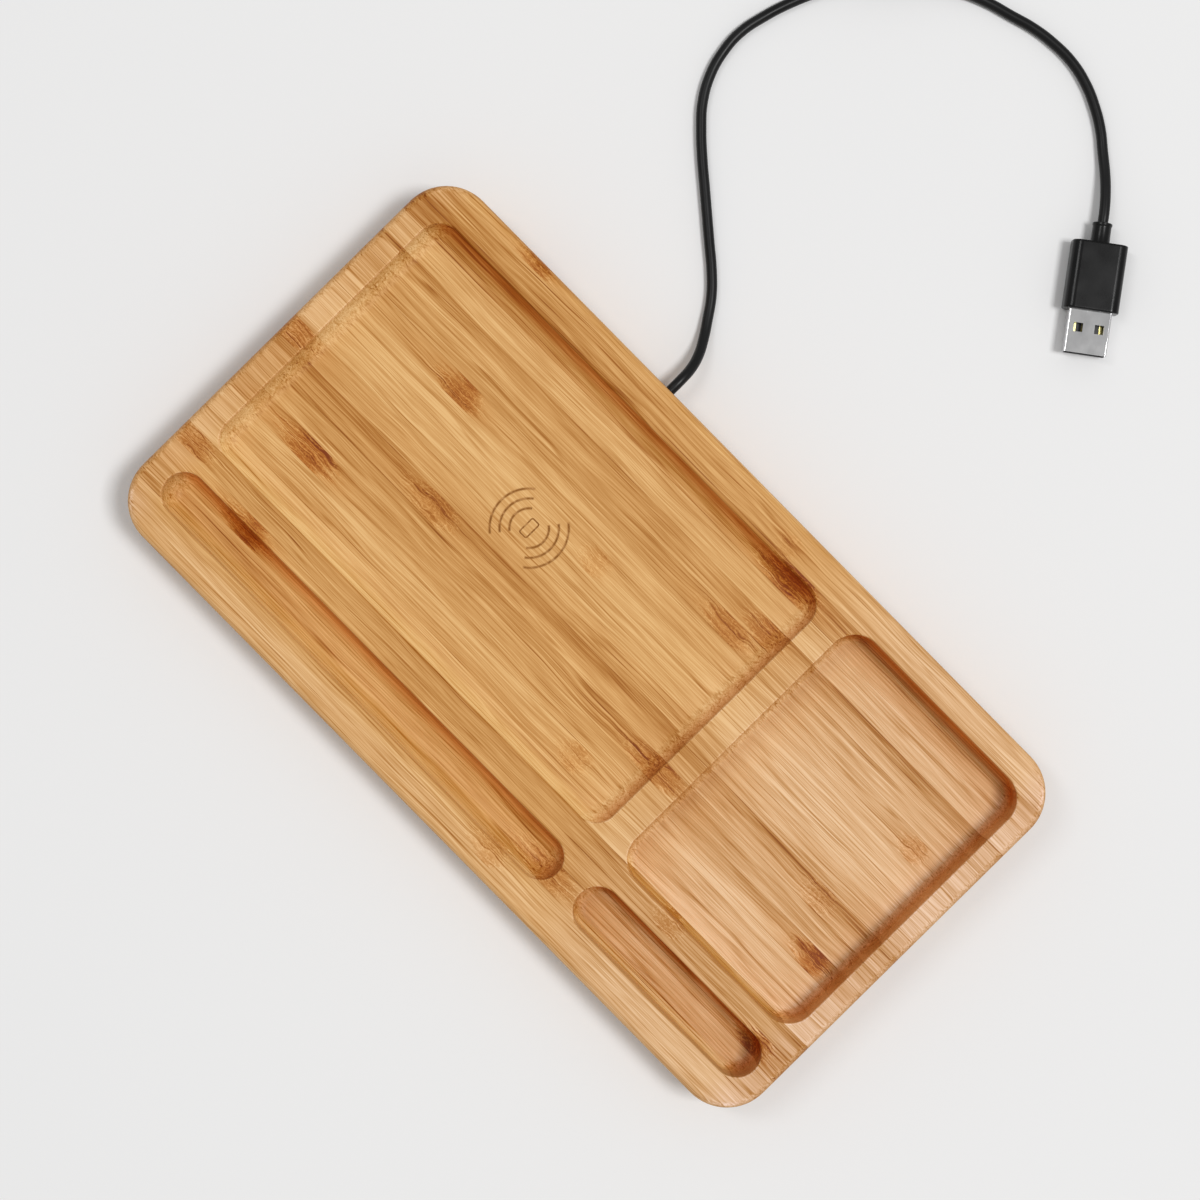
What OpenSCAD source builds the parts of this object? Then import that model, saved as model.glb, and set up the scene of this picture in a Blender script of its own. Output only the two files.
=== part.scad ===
// Bamboo desk tray with a built-in wireless phone charger, in millimetres.
// +X runs along the tray, +Y points to the edge that the cord leaves, +Z is up.
// The origin is on the desk, under the middle of the tray.

/* [Tray] */
// Length of the bamboo tray
tray_len = 240; // [220:1:280]
// Width of the bamboo tray
tray_wid = 130; // [122:1:160]
// Thickness of the bamboo board
tray_thick = 18; // [17:0.5:26]
// Radius of the four outer corners
tray_corner_r = 14; // [8:0.5:20]
// Round-over along the upper outer edge
tray_top_r = 2.5; // [0.5:0.25:4]
// Round-over along the lower outer edge
tray_low_r = 1.5; // [0.5:0.25:2.5]
// Round-over along the mouth of every pocket
mouth_r = 0.6; // [0.3:0.1:1]

/* [Walls between the pockets] */
// Wood left of the phone recess and of the pen groove
left_rim = 8; // [5:0.5:14]
// Wood right of the box pocket and of the clip groove
right_rim = 6.5; // [5:0.5:14]
// Wood in front of the two grooves
front_rim = 10; // [5:0.5:14]
// Wood between the phone recess and the box pocket
divider_w = 8.5; // [5:0.5:14]
// Wood between the pen groove and the phone recess
pen_rail_w = 8.5; // [5:0.5:12]
// Wood between the clip groove and the box pocket
clip_rail_w = 6.5; // [5:0.5:12]
// Wood behind the phone recess
phone_rear_rim = 10.5; // [8:0.5:14]
// Wood behind the box pocket
box_rear_rim = 8.5; // [5:0.5:14]

/* [Pockets] */
// Length of the phone recess and of the pen groove
phone_len = 150; // [135:1:165]
// Depth of the phone recess
phone_depth = 4; // [3:0.25:5]
// Corner radius of the phone recess
phone_corner_r = 7; // [6:0.5:12]
// Radius of the cove round the phone recess
phone_cove_r = 5.5; // [4:0.25:6]
// Depth of the box pocket
box_depth = 11; // [6:0.5:12]
// Corner radius of the box pocket
box_corner_r = 8; // [4:0.5:14]
// Fillet round the floor of the box pocket
box_cove_r = 3; // [1:0.25:4]
// Width of the pen groove
pen_wid = 12.5; // [11:0.5:16]
// Depth of the pen groove
pen_depth = 6; // [4:0.5:9]
// Radius of the cove along the pen groove
pen_cove_r = 5.5; // [4:0.25:5.5]
// Width of the clip groove
clip_wid = 13.5; // [10:0.5:18]
// Depth of the clip groove
clip_depth = 11; // [6:0.5:12]
// Fillet round the floor of the clip groove
clip_cove_r = 3.5; // [1:0.25:4.5]

/* [Charging mark] */
// Shift of the charging point along the tray from the middle of the phone recess
coil_shift_x = 3; // [-10:0.5:10]
// Shift of the charging point towards the rear edge
coil_shift_y = 1.25; // [-2:0.25:3]
// Radius of the innermost engraved arc
mark_r = 5.4; // [4:0.1:7]
// Step from one engraved arc to the next
mark_step = 2.7; // [1.5:0.1:4]
// Width of the engraved line
mark_line = 0.4; // [0.3:0.05:0.8]
// Depth of the engraved line
mark_depth = 0.25; // [0.1:0.05:0.5]

/* [Charger bay] */
// Wood left between the phone and the coil
web_t = 2.8; // [2:0.1:3.2]
// Side of the square ferrite plate
ferrite_side = 50; // [46:0.5:51]
// Thickness of the ferrite plate
ferrite_t = 1.5; // [1:0.1:1.8]
// Outer radius of the coil
coil_r = 22; // [20:0.25:22.5]
// Number of turns in the coil
coil_turns = 10; // [8:1:12]
// Diameter of the litz wire in the coil
litz_d = 1.2; // [0.9:0.05:1.3]
// Thickness of the double-sided tape over the coil
tape_t = 0.3; // [0.1:0.05:0.5]
// Thickness of the film under the ferrite plate
film_t = 0.3; // [0.1:0.05:0.5]
// Length of the circuit board
board_len = 66; // [62:0.5:68]
// Width of the circuit board
board_wid = 46; // [42:0.5:47]
// Thickness of the circuit board
board_t = 1.6; // [1:0.1:1.6]
// Width of the bay that holds the board and the cord clamp
bay_wid = 62; // [61:0.5:64]
// Room round the ferrite plate and round the board
bay_gap = 1; // [0.8:0.1:1.2]

/* [Bottom cover] */
// Length of the bottom cover
cover_len = 84; // [82:0.5:96]
// Width of the bottom cover
cover_wid = 76; // [75:0.5:90]
// Thickness of the bottom cover
cover_t = 2; // [1.6:0.1:2]
// Corner radius of the bottom cover
cover_corner_r = 6; // [3:0.5:8]
// Play between the cover and its seat
cover_gap = 0.3; // [0.1:0.05:0.5]

/* [Feet] */
// Radius of a rubber foot
foot_r = 6; // [4:0.25:8]
// Height of a foot below the tray
foot_proud = 2; // [1:0.25:3]
// Depth of the seat of a foot in the wood
foot_sunk = 1; // [0.5:0.1:1.5]
// Distance of a foot's middle from the tray's edges
foot_inset = 18; // [14:0.5:22]
// Round-over along the lower edge of a foot
foot_edge_r = 0.8; // [0.3:0.1:1]

/* [Cord and plug] */
// Diameter of the cord
cord_d = 3; // [2.8:0.1:3.2]
// Outer radius of the rubber bushing at the edge
bushing_r = 3; // [2.5:0.1:3.5]
// Length of the rubber bushing
bushing_len = 5; // [3:0.5:8]
// Width of the plug's grip
grip_wid = 15.4; // [14.5:0.1:17]
// Height of the plug's grip
grip_h = 8; // [7.4:0.1:9]
// Length of the plug's grip
grip_len = 19; // [16:0.5:24]
// Length of the sleeve behind the grip
sleeve_len = 5.7; // [4:0.1:8]
// Width of the plug's metal shell
shell_wid = 12; // [11.9:0.05:12.1]
// Height of the plug's metal shell
shell_h = 4.5; // [4.4:0.05:4.6]
// Length of the metal shell that stands out of the grip
shell_out = 12; // [11:0.25:12.5]

/* [Hidden] */

$fn = 64;
// Small overlap that keeps cutters clear of the faces they open
eps = 0.5;
// Running clearance between round parts that only lie in a hole
slack = 0.1;
// Depth to which glued or soldered ends go into each other
bond = 0.3;

// Heights
z_low = foot_proud;
z_top = z_low + tray_thick;
z_phone = z_top - phone_depth;
z_bay_roof = z_phone - web_t;
z_coil_top = z_bay_roof - tape_t;
z_ferrite_top = z_coil_top - litz_d;
z_film_top = z_ferrite_top - ferrite_t;
z_board_top = z_film_top - film_t;
z_board_low = z_board_top - board_t;
z_cover_top = z_low + cover_t;

// Pockets: middle and size in plan
pocket_x0 = -tray_len / 2 + left_rim;
phone_x = pocket_x0 + phone_len / 2;
phone_y0 = -tray_wid / 2 + front_rim + pen_wid + pen_rail_w;
phone_y1 = tray_wid / 2 - phone_rear_rim;
phone_wid = phone_y1 - phone_y0;
phone_y = (phone_y0 + phone_y1) / 2;
box_x0 = pocket_x0 + phone_len + divider_w;
box_x1 = tray_len / 2 - right_rim;
box_len = box_x1 - box_x0;
box_x = (box_x0 + box_x1) / 2;
box_y0 = -tray_wid / 2 + front_rim + clip_wid + clip_rail_w;
box_y1 = tray_wid / 2 - box_rear_rim;
box_wid = box_y1 - box_y0;
box_y = (box_y0 + box_y1) / 2;
pen_y = -tray_wid / 2 + front_rim + pen_wid / 2;
clip_y = -tray_wid / 2 + front_rim + clip_wid / 2;

// Charging point
core_x = phone_x + coil_shift_x;
core_y = phone_y + coil_shift_y;

// Charging mark: half angle of the arcs and size of the phone outline inside them
mark_half_angle = 52;
mark_phone_len = 5.6;
mark_phone_wid = 3;
mark_phone_r = 0.7;

// Bay: the coil and ferrite lie in the deep part, the board hangs under its ledge
coil_bay = ferrite_side + 2 * bay_gap;
bay_len = board_len + 2 * bay_gap;
bay_corner_r = 3;
ferrite_corner_r = 3;

// Coil: how far the glue between its turns reaches, as a share of the wire, and its two leads
coil_inner_r = coil_r - coil_turns * litz_d;
glue_share = 0.6;
lead_d = 0.9;
lead_x = ferrite_side / 2 + bay_gap / 2;
lead_slot_x = 8;
lead_slot_y = 6;
lead_slot_w = 1.6;

// Board: its middle and the distance of its screws from its edges
board_x = core_x;
board_y = core_y - bay_wid / 2 + bay_gap + board_wid / 2;
board_rear_y = board_y + board_wid / 2;
board_corner_r = 2;
board_screw_edge = 4;

// Parts under the board: the first one's place from the board's middle, the steps to the next
// ones, and the size of each as length, width and height
controller_at = [-6, -5];
controller_size = [7, 7, 1.2];
controller_pins = 8;
transistor_at = [-21, -11];
transistor_step = 10;
transistor_size = [5, 4, 1.6];
transistor_pins = 4;
inductor_at = [-19, 12];
inductor_size = [7, 7, 3];
inductor_corner_r = 1.2;
resonant_at = [20, -13];
resonant_step = 6;
resonant_size = [4.6, 3.2, 2.2];
filter_at = [9, -9];
filter_step = 7;
filter_size = [3.2, 2.6, 1.8];
resistor_at = [-14, -19];
resistor_step = [4, 24];
resistor_size = [1.6, 0.8, 0.5];
crystal_at = [3, -14];
crystal_size = [3.2, 2.5, 0.8];
led_at = [11, -19];
led_step = 4;
led_size = [1.6, 0.8, 0.7];
// Pins of a chip: width, thickness, how far they stand out, and the chip's gap to the board
pin_w = 0.3;
pin_t = 0.4;
pin_out = 0.8;
pin_in = 0.2;
chip_gap = 0.1;

// Screws. A tip tapers to this share of the shank, and a drive reaches this share of the head
tip_share = 0.25;
drive_share = 0.6;
drive_w = 0.6;
drive_depth = 0.6;
small_screw_r = 1;
small_head_r = 1.9;
small_head_h = 1.2;
board_screw_len = 5;
clamp_screw_len = 7;
cover_screw_r = 1.25;
cover_head_r = 2.6;
cover_head_h = cover_head_r - cover_screw_r;
cover_screw_len = 10;
cover_screw_edge = 4.5;

// Cord inside the tray, and the ring of four conductors inside its jacket
cord_r = cord_d / 2;
cord_z = z_board_top - cord_r;
clamp_len = 4.4;
clamp_wid = 18;
clamp_t = 1.2;
clamp_y = core_y + bay_wid / 2 - clamp_len / 2 - slack;
clamp_low = cord_z - cord_r - clamp_t;
clamp_screw_x = 6.2;
jacket_past_clamp = 2;
jacket_y = clamp_y - clamp_len / 2 - jacket_past_clamp;
wire_d = 0.9;
wire_ring_r = 0.75;
wire_straight = 1;
wire_bend = 5;
// Pads of the conductors: places counted in steps from the middle, for each in turn
wire_pads = [1.5, 0.5, -1.5, -0.5];
wire_pad_step = 3.2;
wire_pad_len = 3;
wire_pad_edge = 3.5;
wire_pad_y = board_rear_y - wire_pad_edge;

// Free cord: straight out of the bushing, then down to the desk and on to the coil
cord_straight = 5;
lead_points = [
    [-34.3, 74, 7], [-35.6, 78.5, 4.8], [-38, 83, 2.8], [-41, 87.5, 1.8],
    [-45, 93, 1.5], [-50, 98, 1.5], [-56, 103, 1.5], [-62, 108, 1.5], [-68, 113, 1.5],
    [-74, 118, 1.5], [-80, 123.5, 1.5], [-85, 129, 1.5], [-89, 136, 1.5], [-91, 143, 1.5],
    [-91.5, 150, 1.5], [-90, 158, 1.5], [-87.5, 166, 1.5], [-84, 174, 1.6], [-80, 181, 1.9]];
// and from the coil to the plug, which it enters straight
tail_points = [
    [-70, 192.4, 4.8], [-64, 197.2, 3.4], [-57, 201.4, 2.1], [-49.5, 204.8, 1.6], [-42, 207, 1.5],
    [-35, 209, 1.5], [-28, 210, 1.5], [-21, 210, 1.5], [-14, 208.5, 1.5], [-8, 206, 1.5],
    [-2, 202.5, 1.5], [3, 198.5, 1.6], [7.4, 194.8, 2.3], [11.4, 190.8, 3.4]];
plug_straight = 3;

// Spare length of cord: a flat coil of two layers
hank_x = -91;
hank_y = 203;
hank_r = 22;
hank_turns = 3.5;
hank_inner_r = hank_r - hank_turns * cord_d;
hank_mid_r = (hank_inner_r + hank_r) / 2;
hank_ring = hank_r - hank_inner_r + cord_d;
hank_angle = -45;
tie_t = 0.6;
tie_w = 5;
tie_play = 0.4;
hank_lift = tie_t + slack;
tie_angle = 60;
hank_start = [hank_x + hank_r * cos(hank_angle), hank_y + hank_r * sin(hank_angle), 0];

// Plug: its sleeve starts at plug_at and it points along plug_angle
plug_at = [17, 184, grip_h / 2];
plug_angle = -53;
plug_dir = [cos(plug_angle), sin(plug_angle), 0];
sleeve_r = 2.75;
sleeve_grooves = [1.4, 2.8];
sleeve_groove_w = 0.7;
sleeve_groove_depth = 0.4;
grip_edge_r = 1.6;
grip_front = sleeve_len + grip_len;
shell_t = 0.3;
shell_in = 6;
shell_edge_r = 0.5;
window = 2.5;
window_x = 5;
window_y = 2.9;
core_wid = shell_wid - 2 * shell_t - slack;
core_h = shell_h - 2 * shell_t - slack;
tongue_t = 1.9;
tongue_short = 1;
contact_w = 1;
contact_len = 7.4;
contact_t = 0.2;
contact_step = 2.5;
contact_from_grip = 1.5;

// ---- shapes used by several pieces ----

// Flat rectangle with round corners, centred
module round_rect(x, y, r) {
    square([x - 2 * r, y], center = true);
    square([x, y - 2 * r], center = true);
    for (sx = [-1, 1], sy = [-1, 1])
        translate([sx * (x / 2 - r), sy * (y / 2 - r)])
            circle(r);
}

// Sweeps a section round a rounded rectangle. The section's x is the distance outwards from
// the corner's centre, and it reaches in to x = 0
module sweep_round(x, y, r, low, high) {
    straight_x = x - 2 * r;
    straight_y = y - 2 * r;
    for (q = [0:3])
        translate([(q == 0 || q == 3 ? 1 : -1) * straight_x / 2, (q < 2 ? 1 : -1) * straight_y / 2, 0])
            rotate(90 * q)
                rotate_extrude(angle = 90)
                    children();
    if (straight_x > 0)
        for (side = [0, 180])
            rotate(side)
                translate([straight_x / 2, straight_y / 2, 0])
                    rotate([90, 0, -90])
                        mirror([1, 0, 0])
                            linear_extrude(straight_x)
                                children();
    if (straight_y > 0)
        for (side = [0, 180])
            rotate(side)
                translate([straight_x / 2, straight_y / 2, 0])
                    rotate([90, 0, 0])
                        linear_extrude(straight_y)
                            children();
    if (straight_x > 0 && straight_y > 0)
        translate([-straight_x / 2, -straight_y / 2, low])
            cube([straight_x, straight_y, high - low]);
}

// Section of the board's edge: a wall at x = r with round-overs at its two edges
module board_edge_section(r, h, top_r, low_r) {
    difference() {
        square([r, h]);
        translate([r - top_r, h - top_r])
            difference() {
                square(top_r + eps);
                circle(top_r);
            }
        translate([r - low_r, -eps])
            difference() {
                square(low_r + eps);
                translate([0, low_r + eps])
                    circle(low_r);
            }
    }
}

// Section of a pocket's edge, measured down from the tray's top face: a cove of radius f
// at the floor and a round-over at the mouth that the cove or the wall runs into
module pocket_section(r, depth, f) {
    cove_x = r - f;
    cove_z = f - depth;
    deep = f + mouth_r <= depth;
    round_x = deep ? r + mouth_r : cove_x + sqrt(pow(f + mouth_r, 2) - pow(cove_z + mouth_r, 2));
    meet = f / (f + mouth_r);
    meet_x = deep ? r : cove_x + meet * (round_x - cove_x);
    meet_z = deep ? -mouth_r : cove_z - meet * (cove_z + mouth_r);
    difference() {
        union() {
            translate([0, -depth])
                square([cove_x, depth + eps]);
            intersection() {
                translate([cove_x, cove_z])
                    circle(f);
                translate([cove_x, -depth])
                    square([f, min(f, depth + meet_z)]);
            }
            if (deep)
                translate([cove_x, cove_z])
                    square([f, -cove_z]);
            polygon([[cove_x, eps], [cove_x, meet_z], [meet_x, meet_z],
                [round_x, -mouth_r], [round_x, eps]]);
        }
        translate([round_x, -mouth_r])
            circle(mouth_r);
    }
}

module pocket(x, y, len, wid, r, depth, f) {
    translate([x, y, z_top])
        sweep_round(len, wid, r, -depth, eps)
            pocket_section(r, depth, f);
}

// Shank of a screw that points up, with its tip at height len
module shank(r, len) {
    cylinder(h = len - r, r = r);
    translate([0, 0, len - r])
        cylinder(h = r, r1 = r, r2 = tip_share * r);
}

// Cross recess that opens downwards at height z
module drive_slots(head_r, z) {
    reach = drive_share * head_r;
    for (a = [0, 90])
        rotate(a)
            translate([-reach, -drive_w / 2, z - eps])
                cube([2 * reach, drive_w, drive_depth + eps]);
}

// Small screw that points up, with its seat at z = 0 and its head below
module small_screw(len) {
    difference() {
        union() {
            shank(small_screw_r, len);
            translate([0, 0, -small_head_h])
                cylinder(h = small_head_h, r = small_head_r);
        }
        drive_slots(small_head_r, -small_head_h);
    }
}

// Block that hangs under z = 0
module hung_block(size) {
    translate([-size[0] / 2, -size[1] / 2, -size[2]])
        cube(size);
}

// Chip with a row of pins along each of the given sides
module chip_body(size, pins, sides) {
    translate([0, 0, -chip_gap])
        hung_block([size[0], size[1], size[2] - chip_gap]);
    pitch = (size[0] - pin_out) / (pins - 1);
    for (a = sides, i = [0:pins - 1])
        rotate(a)
            translate([(i - (pins - 1) / 2) * pitch - pin_w / 2, -size[1] / 2 - pin_out, -pin_t])
                cube([pin_w, pin_out + pin_in, pin_t]);
}

// Puts a part under the board, at a place measured from the board's middle
module on_board(at) {
    translate([board_x + at[0], board_y + at[1], z_board_low])
        children();
}

// Tube through a list of points, swept as rings. square_to is a direction that it never takes
function unit(v) = v / norm(v);
function run_dir(p, i) =
    unit(p[min(i + 1, len(p) - 1)] - p[max(i - 1, 0)]);
function ring_at(p, d, r, sides, square_to) =
    let (side = unit(cross(d, square_to)), up = cross(side, d))
    [for (k = [0:sides - 1]) p + r * (cos(360 * k / sides) * side + sin(360 * k / sides) * up)];
module tube(p, r, sides = 8, square_to = [0, 0, 1]) {
    rings = len(p);
    points = [for (i = [0:rings - 1]) each ring_at(p[i], run_dir(p, i), r, sides, square_to)];
    walls = [
        for (i = [0:rings - 2], k = [0:sides - 1])
            let (a = i * sides + k, b = i * sides + (k + 1) % sides)
            each [[a, b, b + sides], [a, b + sides, a + sides]]];
    first = [for (k = [sides - 1:-1:0]) k];
    last = [for (k = [0:sides - 1]) (rings - 1) * sides + k];
    polyhedron(points = points, faces = concat([first], walls, [last]));
}

// ---- tray ----

module foot_places() {
    for (sx = [-1, 1], sy = [-1, 1])
        translate([sx * (tray_len / 2 - foot_inset), sy * (tray_wid / 2 - foot_inset), 0])
            children();
}

module cover_screw_places() {
    for (sx = [-1, 1], sy = [-1, 1])
        translate([core_x + sx * (cover_len / 2 - cover_screw_edge),
            core_y + sy * (cover_wid / 2 - cover_screw_edge), z_low])
            children();
}

module board_screw_places() {
    for (sx = [-1, 1], sy = [-1, 1])
        on_board([sx * (board_len / 2 - board_screw_edge), sy * (board_wid / 2 - board_screw_edge)])
            children();
}

module clamp_screw_places() {
    for (sx = [-1, 1])
        translate([core_x + sx * clamp_screw_x, clamp_y, clamp_low])
            children();
}

// Engraved charging mark: three arcs on each side of a plain phone outline
module charging_mark() {
    translate([core_x, core_y, z_phone - mark_depth]) {
        for (side = [0, 180], i = [0:2])
            rotate(side - mark_half_angle)
                rotate_extrude(angle = 2 * mark_half_angle)
                    translate([mark_r + i * mark_step - mark_line / 2, 0])
                        square([mark_line, mark_depth + eps]);
        linear_extrude(mark_depth + eps)
            difference() {
                round_rect(mark_phone_wid, mark_phone_len, mark_phone_r);
                round_rect(mark_phone_wid - 2 * mark_line, mark_phone_len - 2 * mark_line,
                    mark_phone_r - mark_line);
            }
    }
}

// Room for the charger, milled from below
module charger_bay() {
    translate([core_x, core_y, z_low - eps]) {
        linear_extrude(z_cover_top - z_low + eps)
            round_rect(cover_len + 2 * cover_gap, cover_wid + 2 * cover_gap, cover_corner_r + cover_gap);
        linear_extrude(z_board_top - z_low + eps)
            round_rect(bay_len, bay_wid, bay_corner_r);
        linear_extrude(z_bay_roof - z_low + eps)
            round_rect(coil_bay, coil_bay, ferrite_corner_r + bay_gap);
    }
    cover_screw_places()
        cylinder(h = cover_screw_len + eps, r = cover_screw_r + slack);
    board_screw_places()
        cylinder(h = board_screw_len + eps, r = small_screw_r + slack);
    clamp_screw_places()
        cylinder(h = clamp_screw_len + eps, r = small_screw_r + slack);
    translate([core_x, core_y, cord_z])
        rotate([-90, 0, 0])
            cylinder(h = tray_wid, r = cord_r + slack);
    translate([core_x, tray_wid / 2 - bushing_len, cord_z])
        rotate([-90, 0, 0])
            cylinder(h = bushing_len + eps, r = bushing_r + slack);
}

module tray() {
    color("burlywood")
        difference() {
            translate([0, 0, z_low])
                sweep_round(tray_len, tray_wid, tray_corner_r, 0, tray_thick)
                    board_edge_section(tray_corner_r, tray_thick, tray_top_r, tray_low_r);
            pocket(phone_x, phone_y, phone_len, phone_wid, phone_corner_r, phone_depth, phone_cove_r);
            pocket(box_x, box_y, box_len, box_wid, box_corner_r, box_depth, box_cove_r);
            pocket(phone_x, pen_y, phone_len, pen_wid, pen_wid / 2, pen_depth, pen_cove_r);
            pocket(box_x, clip_y, box_len, clip_wid, clip_wid / 2, clip_depth, clip_cove_r);
            charging_mark();
            charger_bay();
            foot_places()
                translate([0, 0, z_low - eps])
                    cylinder(h = foot_sunk + eps, r = foot_r + slack);
        }
}

// ---- underside ----

module bottom_cover() {
    color("dimgray")
        difference() {
            translate([core_x, core_y, z_low])
                linear_extrude(cover_t)
                    round_rect(cover_len, cover_wid, cover_corner_r);
            cover_screw_places() {
                translate([0, 0, -eps])
                    cylinder(h = cover_t + 2 * eps, r = cover_screw_r + slack);
                cylinder(h = cover_head_h, r1 = cover_head_r + slack, r2 = cover_screw_r + slack);
            }
        }
}

module cover_screws() {
    color("silver")
        cover_screw_places()
            difference() {
                union() {
                    cylinder(h = cover_head_h, r1 = cover_head_r, r2 = cover_screw_r);
                    shank(cover_screw_r, cover_screw_len);
                }
                drive_slots(cover_head_r, 0);
            }
}

// Round foot with a softened lower edge, glued into its seat
module foot(sx, sy) {
    color("black")
        translate([sx * (tray_len / 2 - foot_inset), sy * (tray_wid / 2 - foot_inset), 0])
            rotate_extrude()
                difference() {
                    square([foot_r, foot_proud + foot_sunk]);
                    translate([foot_r - foot_edge_r, -eps])
                        difference() {
                            square(foot_edge_r + eps);
                            translate([0, foot_edge_r + eps])
                                circle(foot_edge_r);
                        }
                }
}
module foot_front_left() { foot(-1, -1); }
module foot_front_right() { foot(1, -1); }
module foot_rear_left() { foot(-1, 1); }
module foot_rear_right() { foot(1, 1); }

// ---- charger ----

module coil_tape() {
    color("white")
        translate([core_x, core_y, z_coil_top])
            linear_extrude(tape_t)
                difference() {
                    circle(coil_r);
                    circle(coil_inner_r);
                }
}

// Flat winding of round litz wire, one turn beside the next
module charging_coil() {
    color("peru")
        translate([core_x, core_y, z_coil_top - litz_d / 2])
            rotate_extrude($fn = 96)
                for (i = [0:coil_turns - 1])
                    translate([coil_r - litz_d * (i + 0.5), 0]) {
                        circle(litz_d / 2, $fn = 24);
                        square([litz_d, litz_d * glue_share], center = true);
                    }
}

// One lead goes down outside the ferrite, the other through the slot in it
module coil_leads() {
    r = lead_d / 2;
    z_coil = z_coil_top - litz_d / 2;
    z_slot = z_film_top + ferrite_t / 2;
    inner_end = [lead_slot_x, lead_slot_y] * (coil_inner_r + bond) / norm([lead_slot_x, lead_slot_y]);
    outer_lead = [
        [coil_r - bond, 0, z_coil],
        [lead_x - r, 0, z_coil],
        [lead_x, 0, z_coil - r],
        [lead_x, 0, z_board_top]];
    inner_lead = [
        [inner_end[0], inner_end[1], z_coil],
        [lead_slot_x, lead_slot_y, z_coil - bond],
        [lead_slot_x + lead_d, lead_slot_y, z_slot],
        [lead_x - r, lead_slot_y, z_slot],
        [lead_x, lead_slot_y, z_slot - r],
        [lead_x, lead_slot_y, z_board_top]];
    color("peru")
        translate([core_x, core_y, 0])
            for (route = [outer_lead, inner_lead])
                tube(route, r, square_to = [0, 1, 0]);
}

module ferrite_plate() {
    color("darkslategray")
        translate([core_x, core_y, z_film_top])
            linear_extrude(ferrite_t)
                difference() {
                    round_rect(ferrite_side, ferrite_side, ferrite_corner_r);
                    translate([lead_slot_x - lead_slot_w, lead_slot_y - lead_slot_w / 2])
                        square([ferrite_side, lead_slot_w]);
                }
}

module insulating_film() {
    color("orange")
        translate([core_x, core_y, z_board_top])
            linear_extrude(film_t)
                round_rect(ferrite_side, ferrite_side, ferrite_corner_r);
}

module circuit_board() {
    color("darkgreen")
        difference() {
            translate([board_x, board_y, z_board_low])
                linear_extrude(board_t)
                    round_rect(board_len, board_wid, board_corner_r);
            board_screw_places()
                translate([0, 0, -eps])
                    cylinder(h = board_t + 2 * eps, r = small_screw_r + slack);
        }
}

module board_screws() {
    color("silver")
        board_screw_places()
            small_screw(board_screw_len);
}

module controller_chip() {
    color("black")
        on_board(controller_at)
            chip_body(controller_size, controller_pins, [0, 90, 180, 270]);
}

module power_transistors() {
    color("black")
        for (i = [0, 1])
            on_board(transistor_at + [0, i * transistor_step])
                chip_body(transistor_size, transistor_pins, [0, 180]);
}

module power_inductor() {
    color("gray")
        on_board(inductor_at)
            translate([0, 0, -inductor_size[2]])
                linear_extrude(inductor_size[2])
                    round_rect(inductor_size[0], inductor_size[1], inductor_corner_r);
}

module resonant_capacitors() {
    color("tan")
        for (i = [0:3])
            on_board(resonant_at + [0, i * resonant_step])
                hung_block(resonant_size);
}

module filter_capacitors() {
    color("goldenrod")
        for (i = [0:2])
            on_board(filter_at + [0, i * filter_step])
                hung_block(filter_size);
}

module chip_resistors() {
    color("black")
        for (i = [0:4], j = [0, 1])
            on_board(resistor_at + [i * resistor_step[0], j * resistor_step[1]])
                hung_block(resistor_size);
}

module clock_crystal() {
    color("silver")
        on_board(crystal_at)
            hung_block(crystal_size);
}

module status_leds() {
    color("white")
        for (i = [0, 1])
            on_board(led_at + [i * led_step, 0])
                hung_block(led_size);
}

// ---- cord inside the tray ----

// One conductor from the end of the jacket to its pad under the board
module conductor(i) {
    r = wire_d / 2;
    x0 = core_x + wire_ring_r * cos(90 * i);
    z0 = cord_z + wire_ring_r * sin(90 * i);
    x1 = core_x + wire_pads[i] * wire_pad_step;
    z1 = z_board_low - r;
    tube([
        [x0, jacket_y, z0],
        [x0, jacket_y - wire_straight, z0],
        [(x0 + x1) / 2, jacket_y - wire_bend, z1],
        [x1, wire_pad_y + wire_pad_len, z1],
        [x1, wire_pad_y, z1]], r);
}
module wire_red() { color("red") conductor(0); }
module wire_black() { color("black") conductor(1); }
module wire_green() { color("green") conductor(2); }
module wire_white() { color("white") conductor(3); }

module inner_cord() {
    color("black")
        translate([core_x, jacket_y, cord_z])
            rotate([-90, 0, 0])
                cylinder(h = tray_wid / 2 - jacket_y, r = cord_r);
}

// Bridge that presses the cord against the ledge
module cord_clamp() {
    color("white")
        difference() {
            translate([core_x - clamp_wid / 2, clamp_y - clamp_len / 2, clamp_low])
                cube([clamp_wid, clamp_len, z_board_top - clamp_low]);
            translate([core_x, clamp_y, cord_z])
                rotate([90, 0, 0])
                    cylinder(h = clamp_len + 2 * eps, r = cord_r + slack, center = true);
            translate([core_x - cord_r - slack, clamp_y - clamp_len / 2 - eps, cord_z])
                cube([2 * (cord_r + slack), clamp_len + 2 * eps, cord_r + eps]);
            clamp_screw_places()
                translate([0, 0, -eps])
                    cylinder(h = z_board_top - clamp_low + 2 * eps, r = small_screw_r + slack);
        }
}

module clamp_screws() {
    color("silver")
        clamp_screw_places()
            small_screw(clamp_screw_len);
}

module cord_bushing() {
    color("black")
        translate([core_x, tray_wid / 2 - bushing_len, cord_z])
            rotate([-90, 0, 0])
                difference() {
                    cylinder(h = bushing_len, r = bushing_r);
                    translate([0, 0, -eps])
                        cylinder(h = bushing_len + 2 * eps, r = cord_r + slack);
                }
}

// ---- free cord and plug ----

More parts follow.
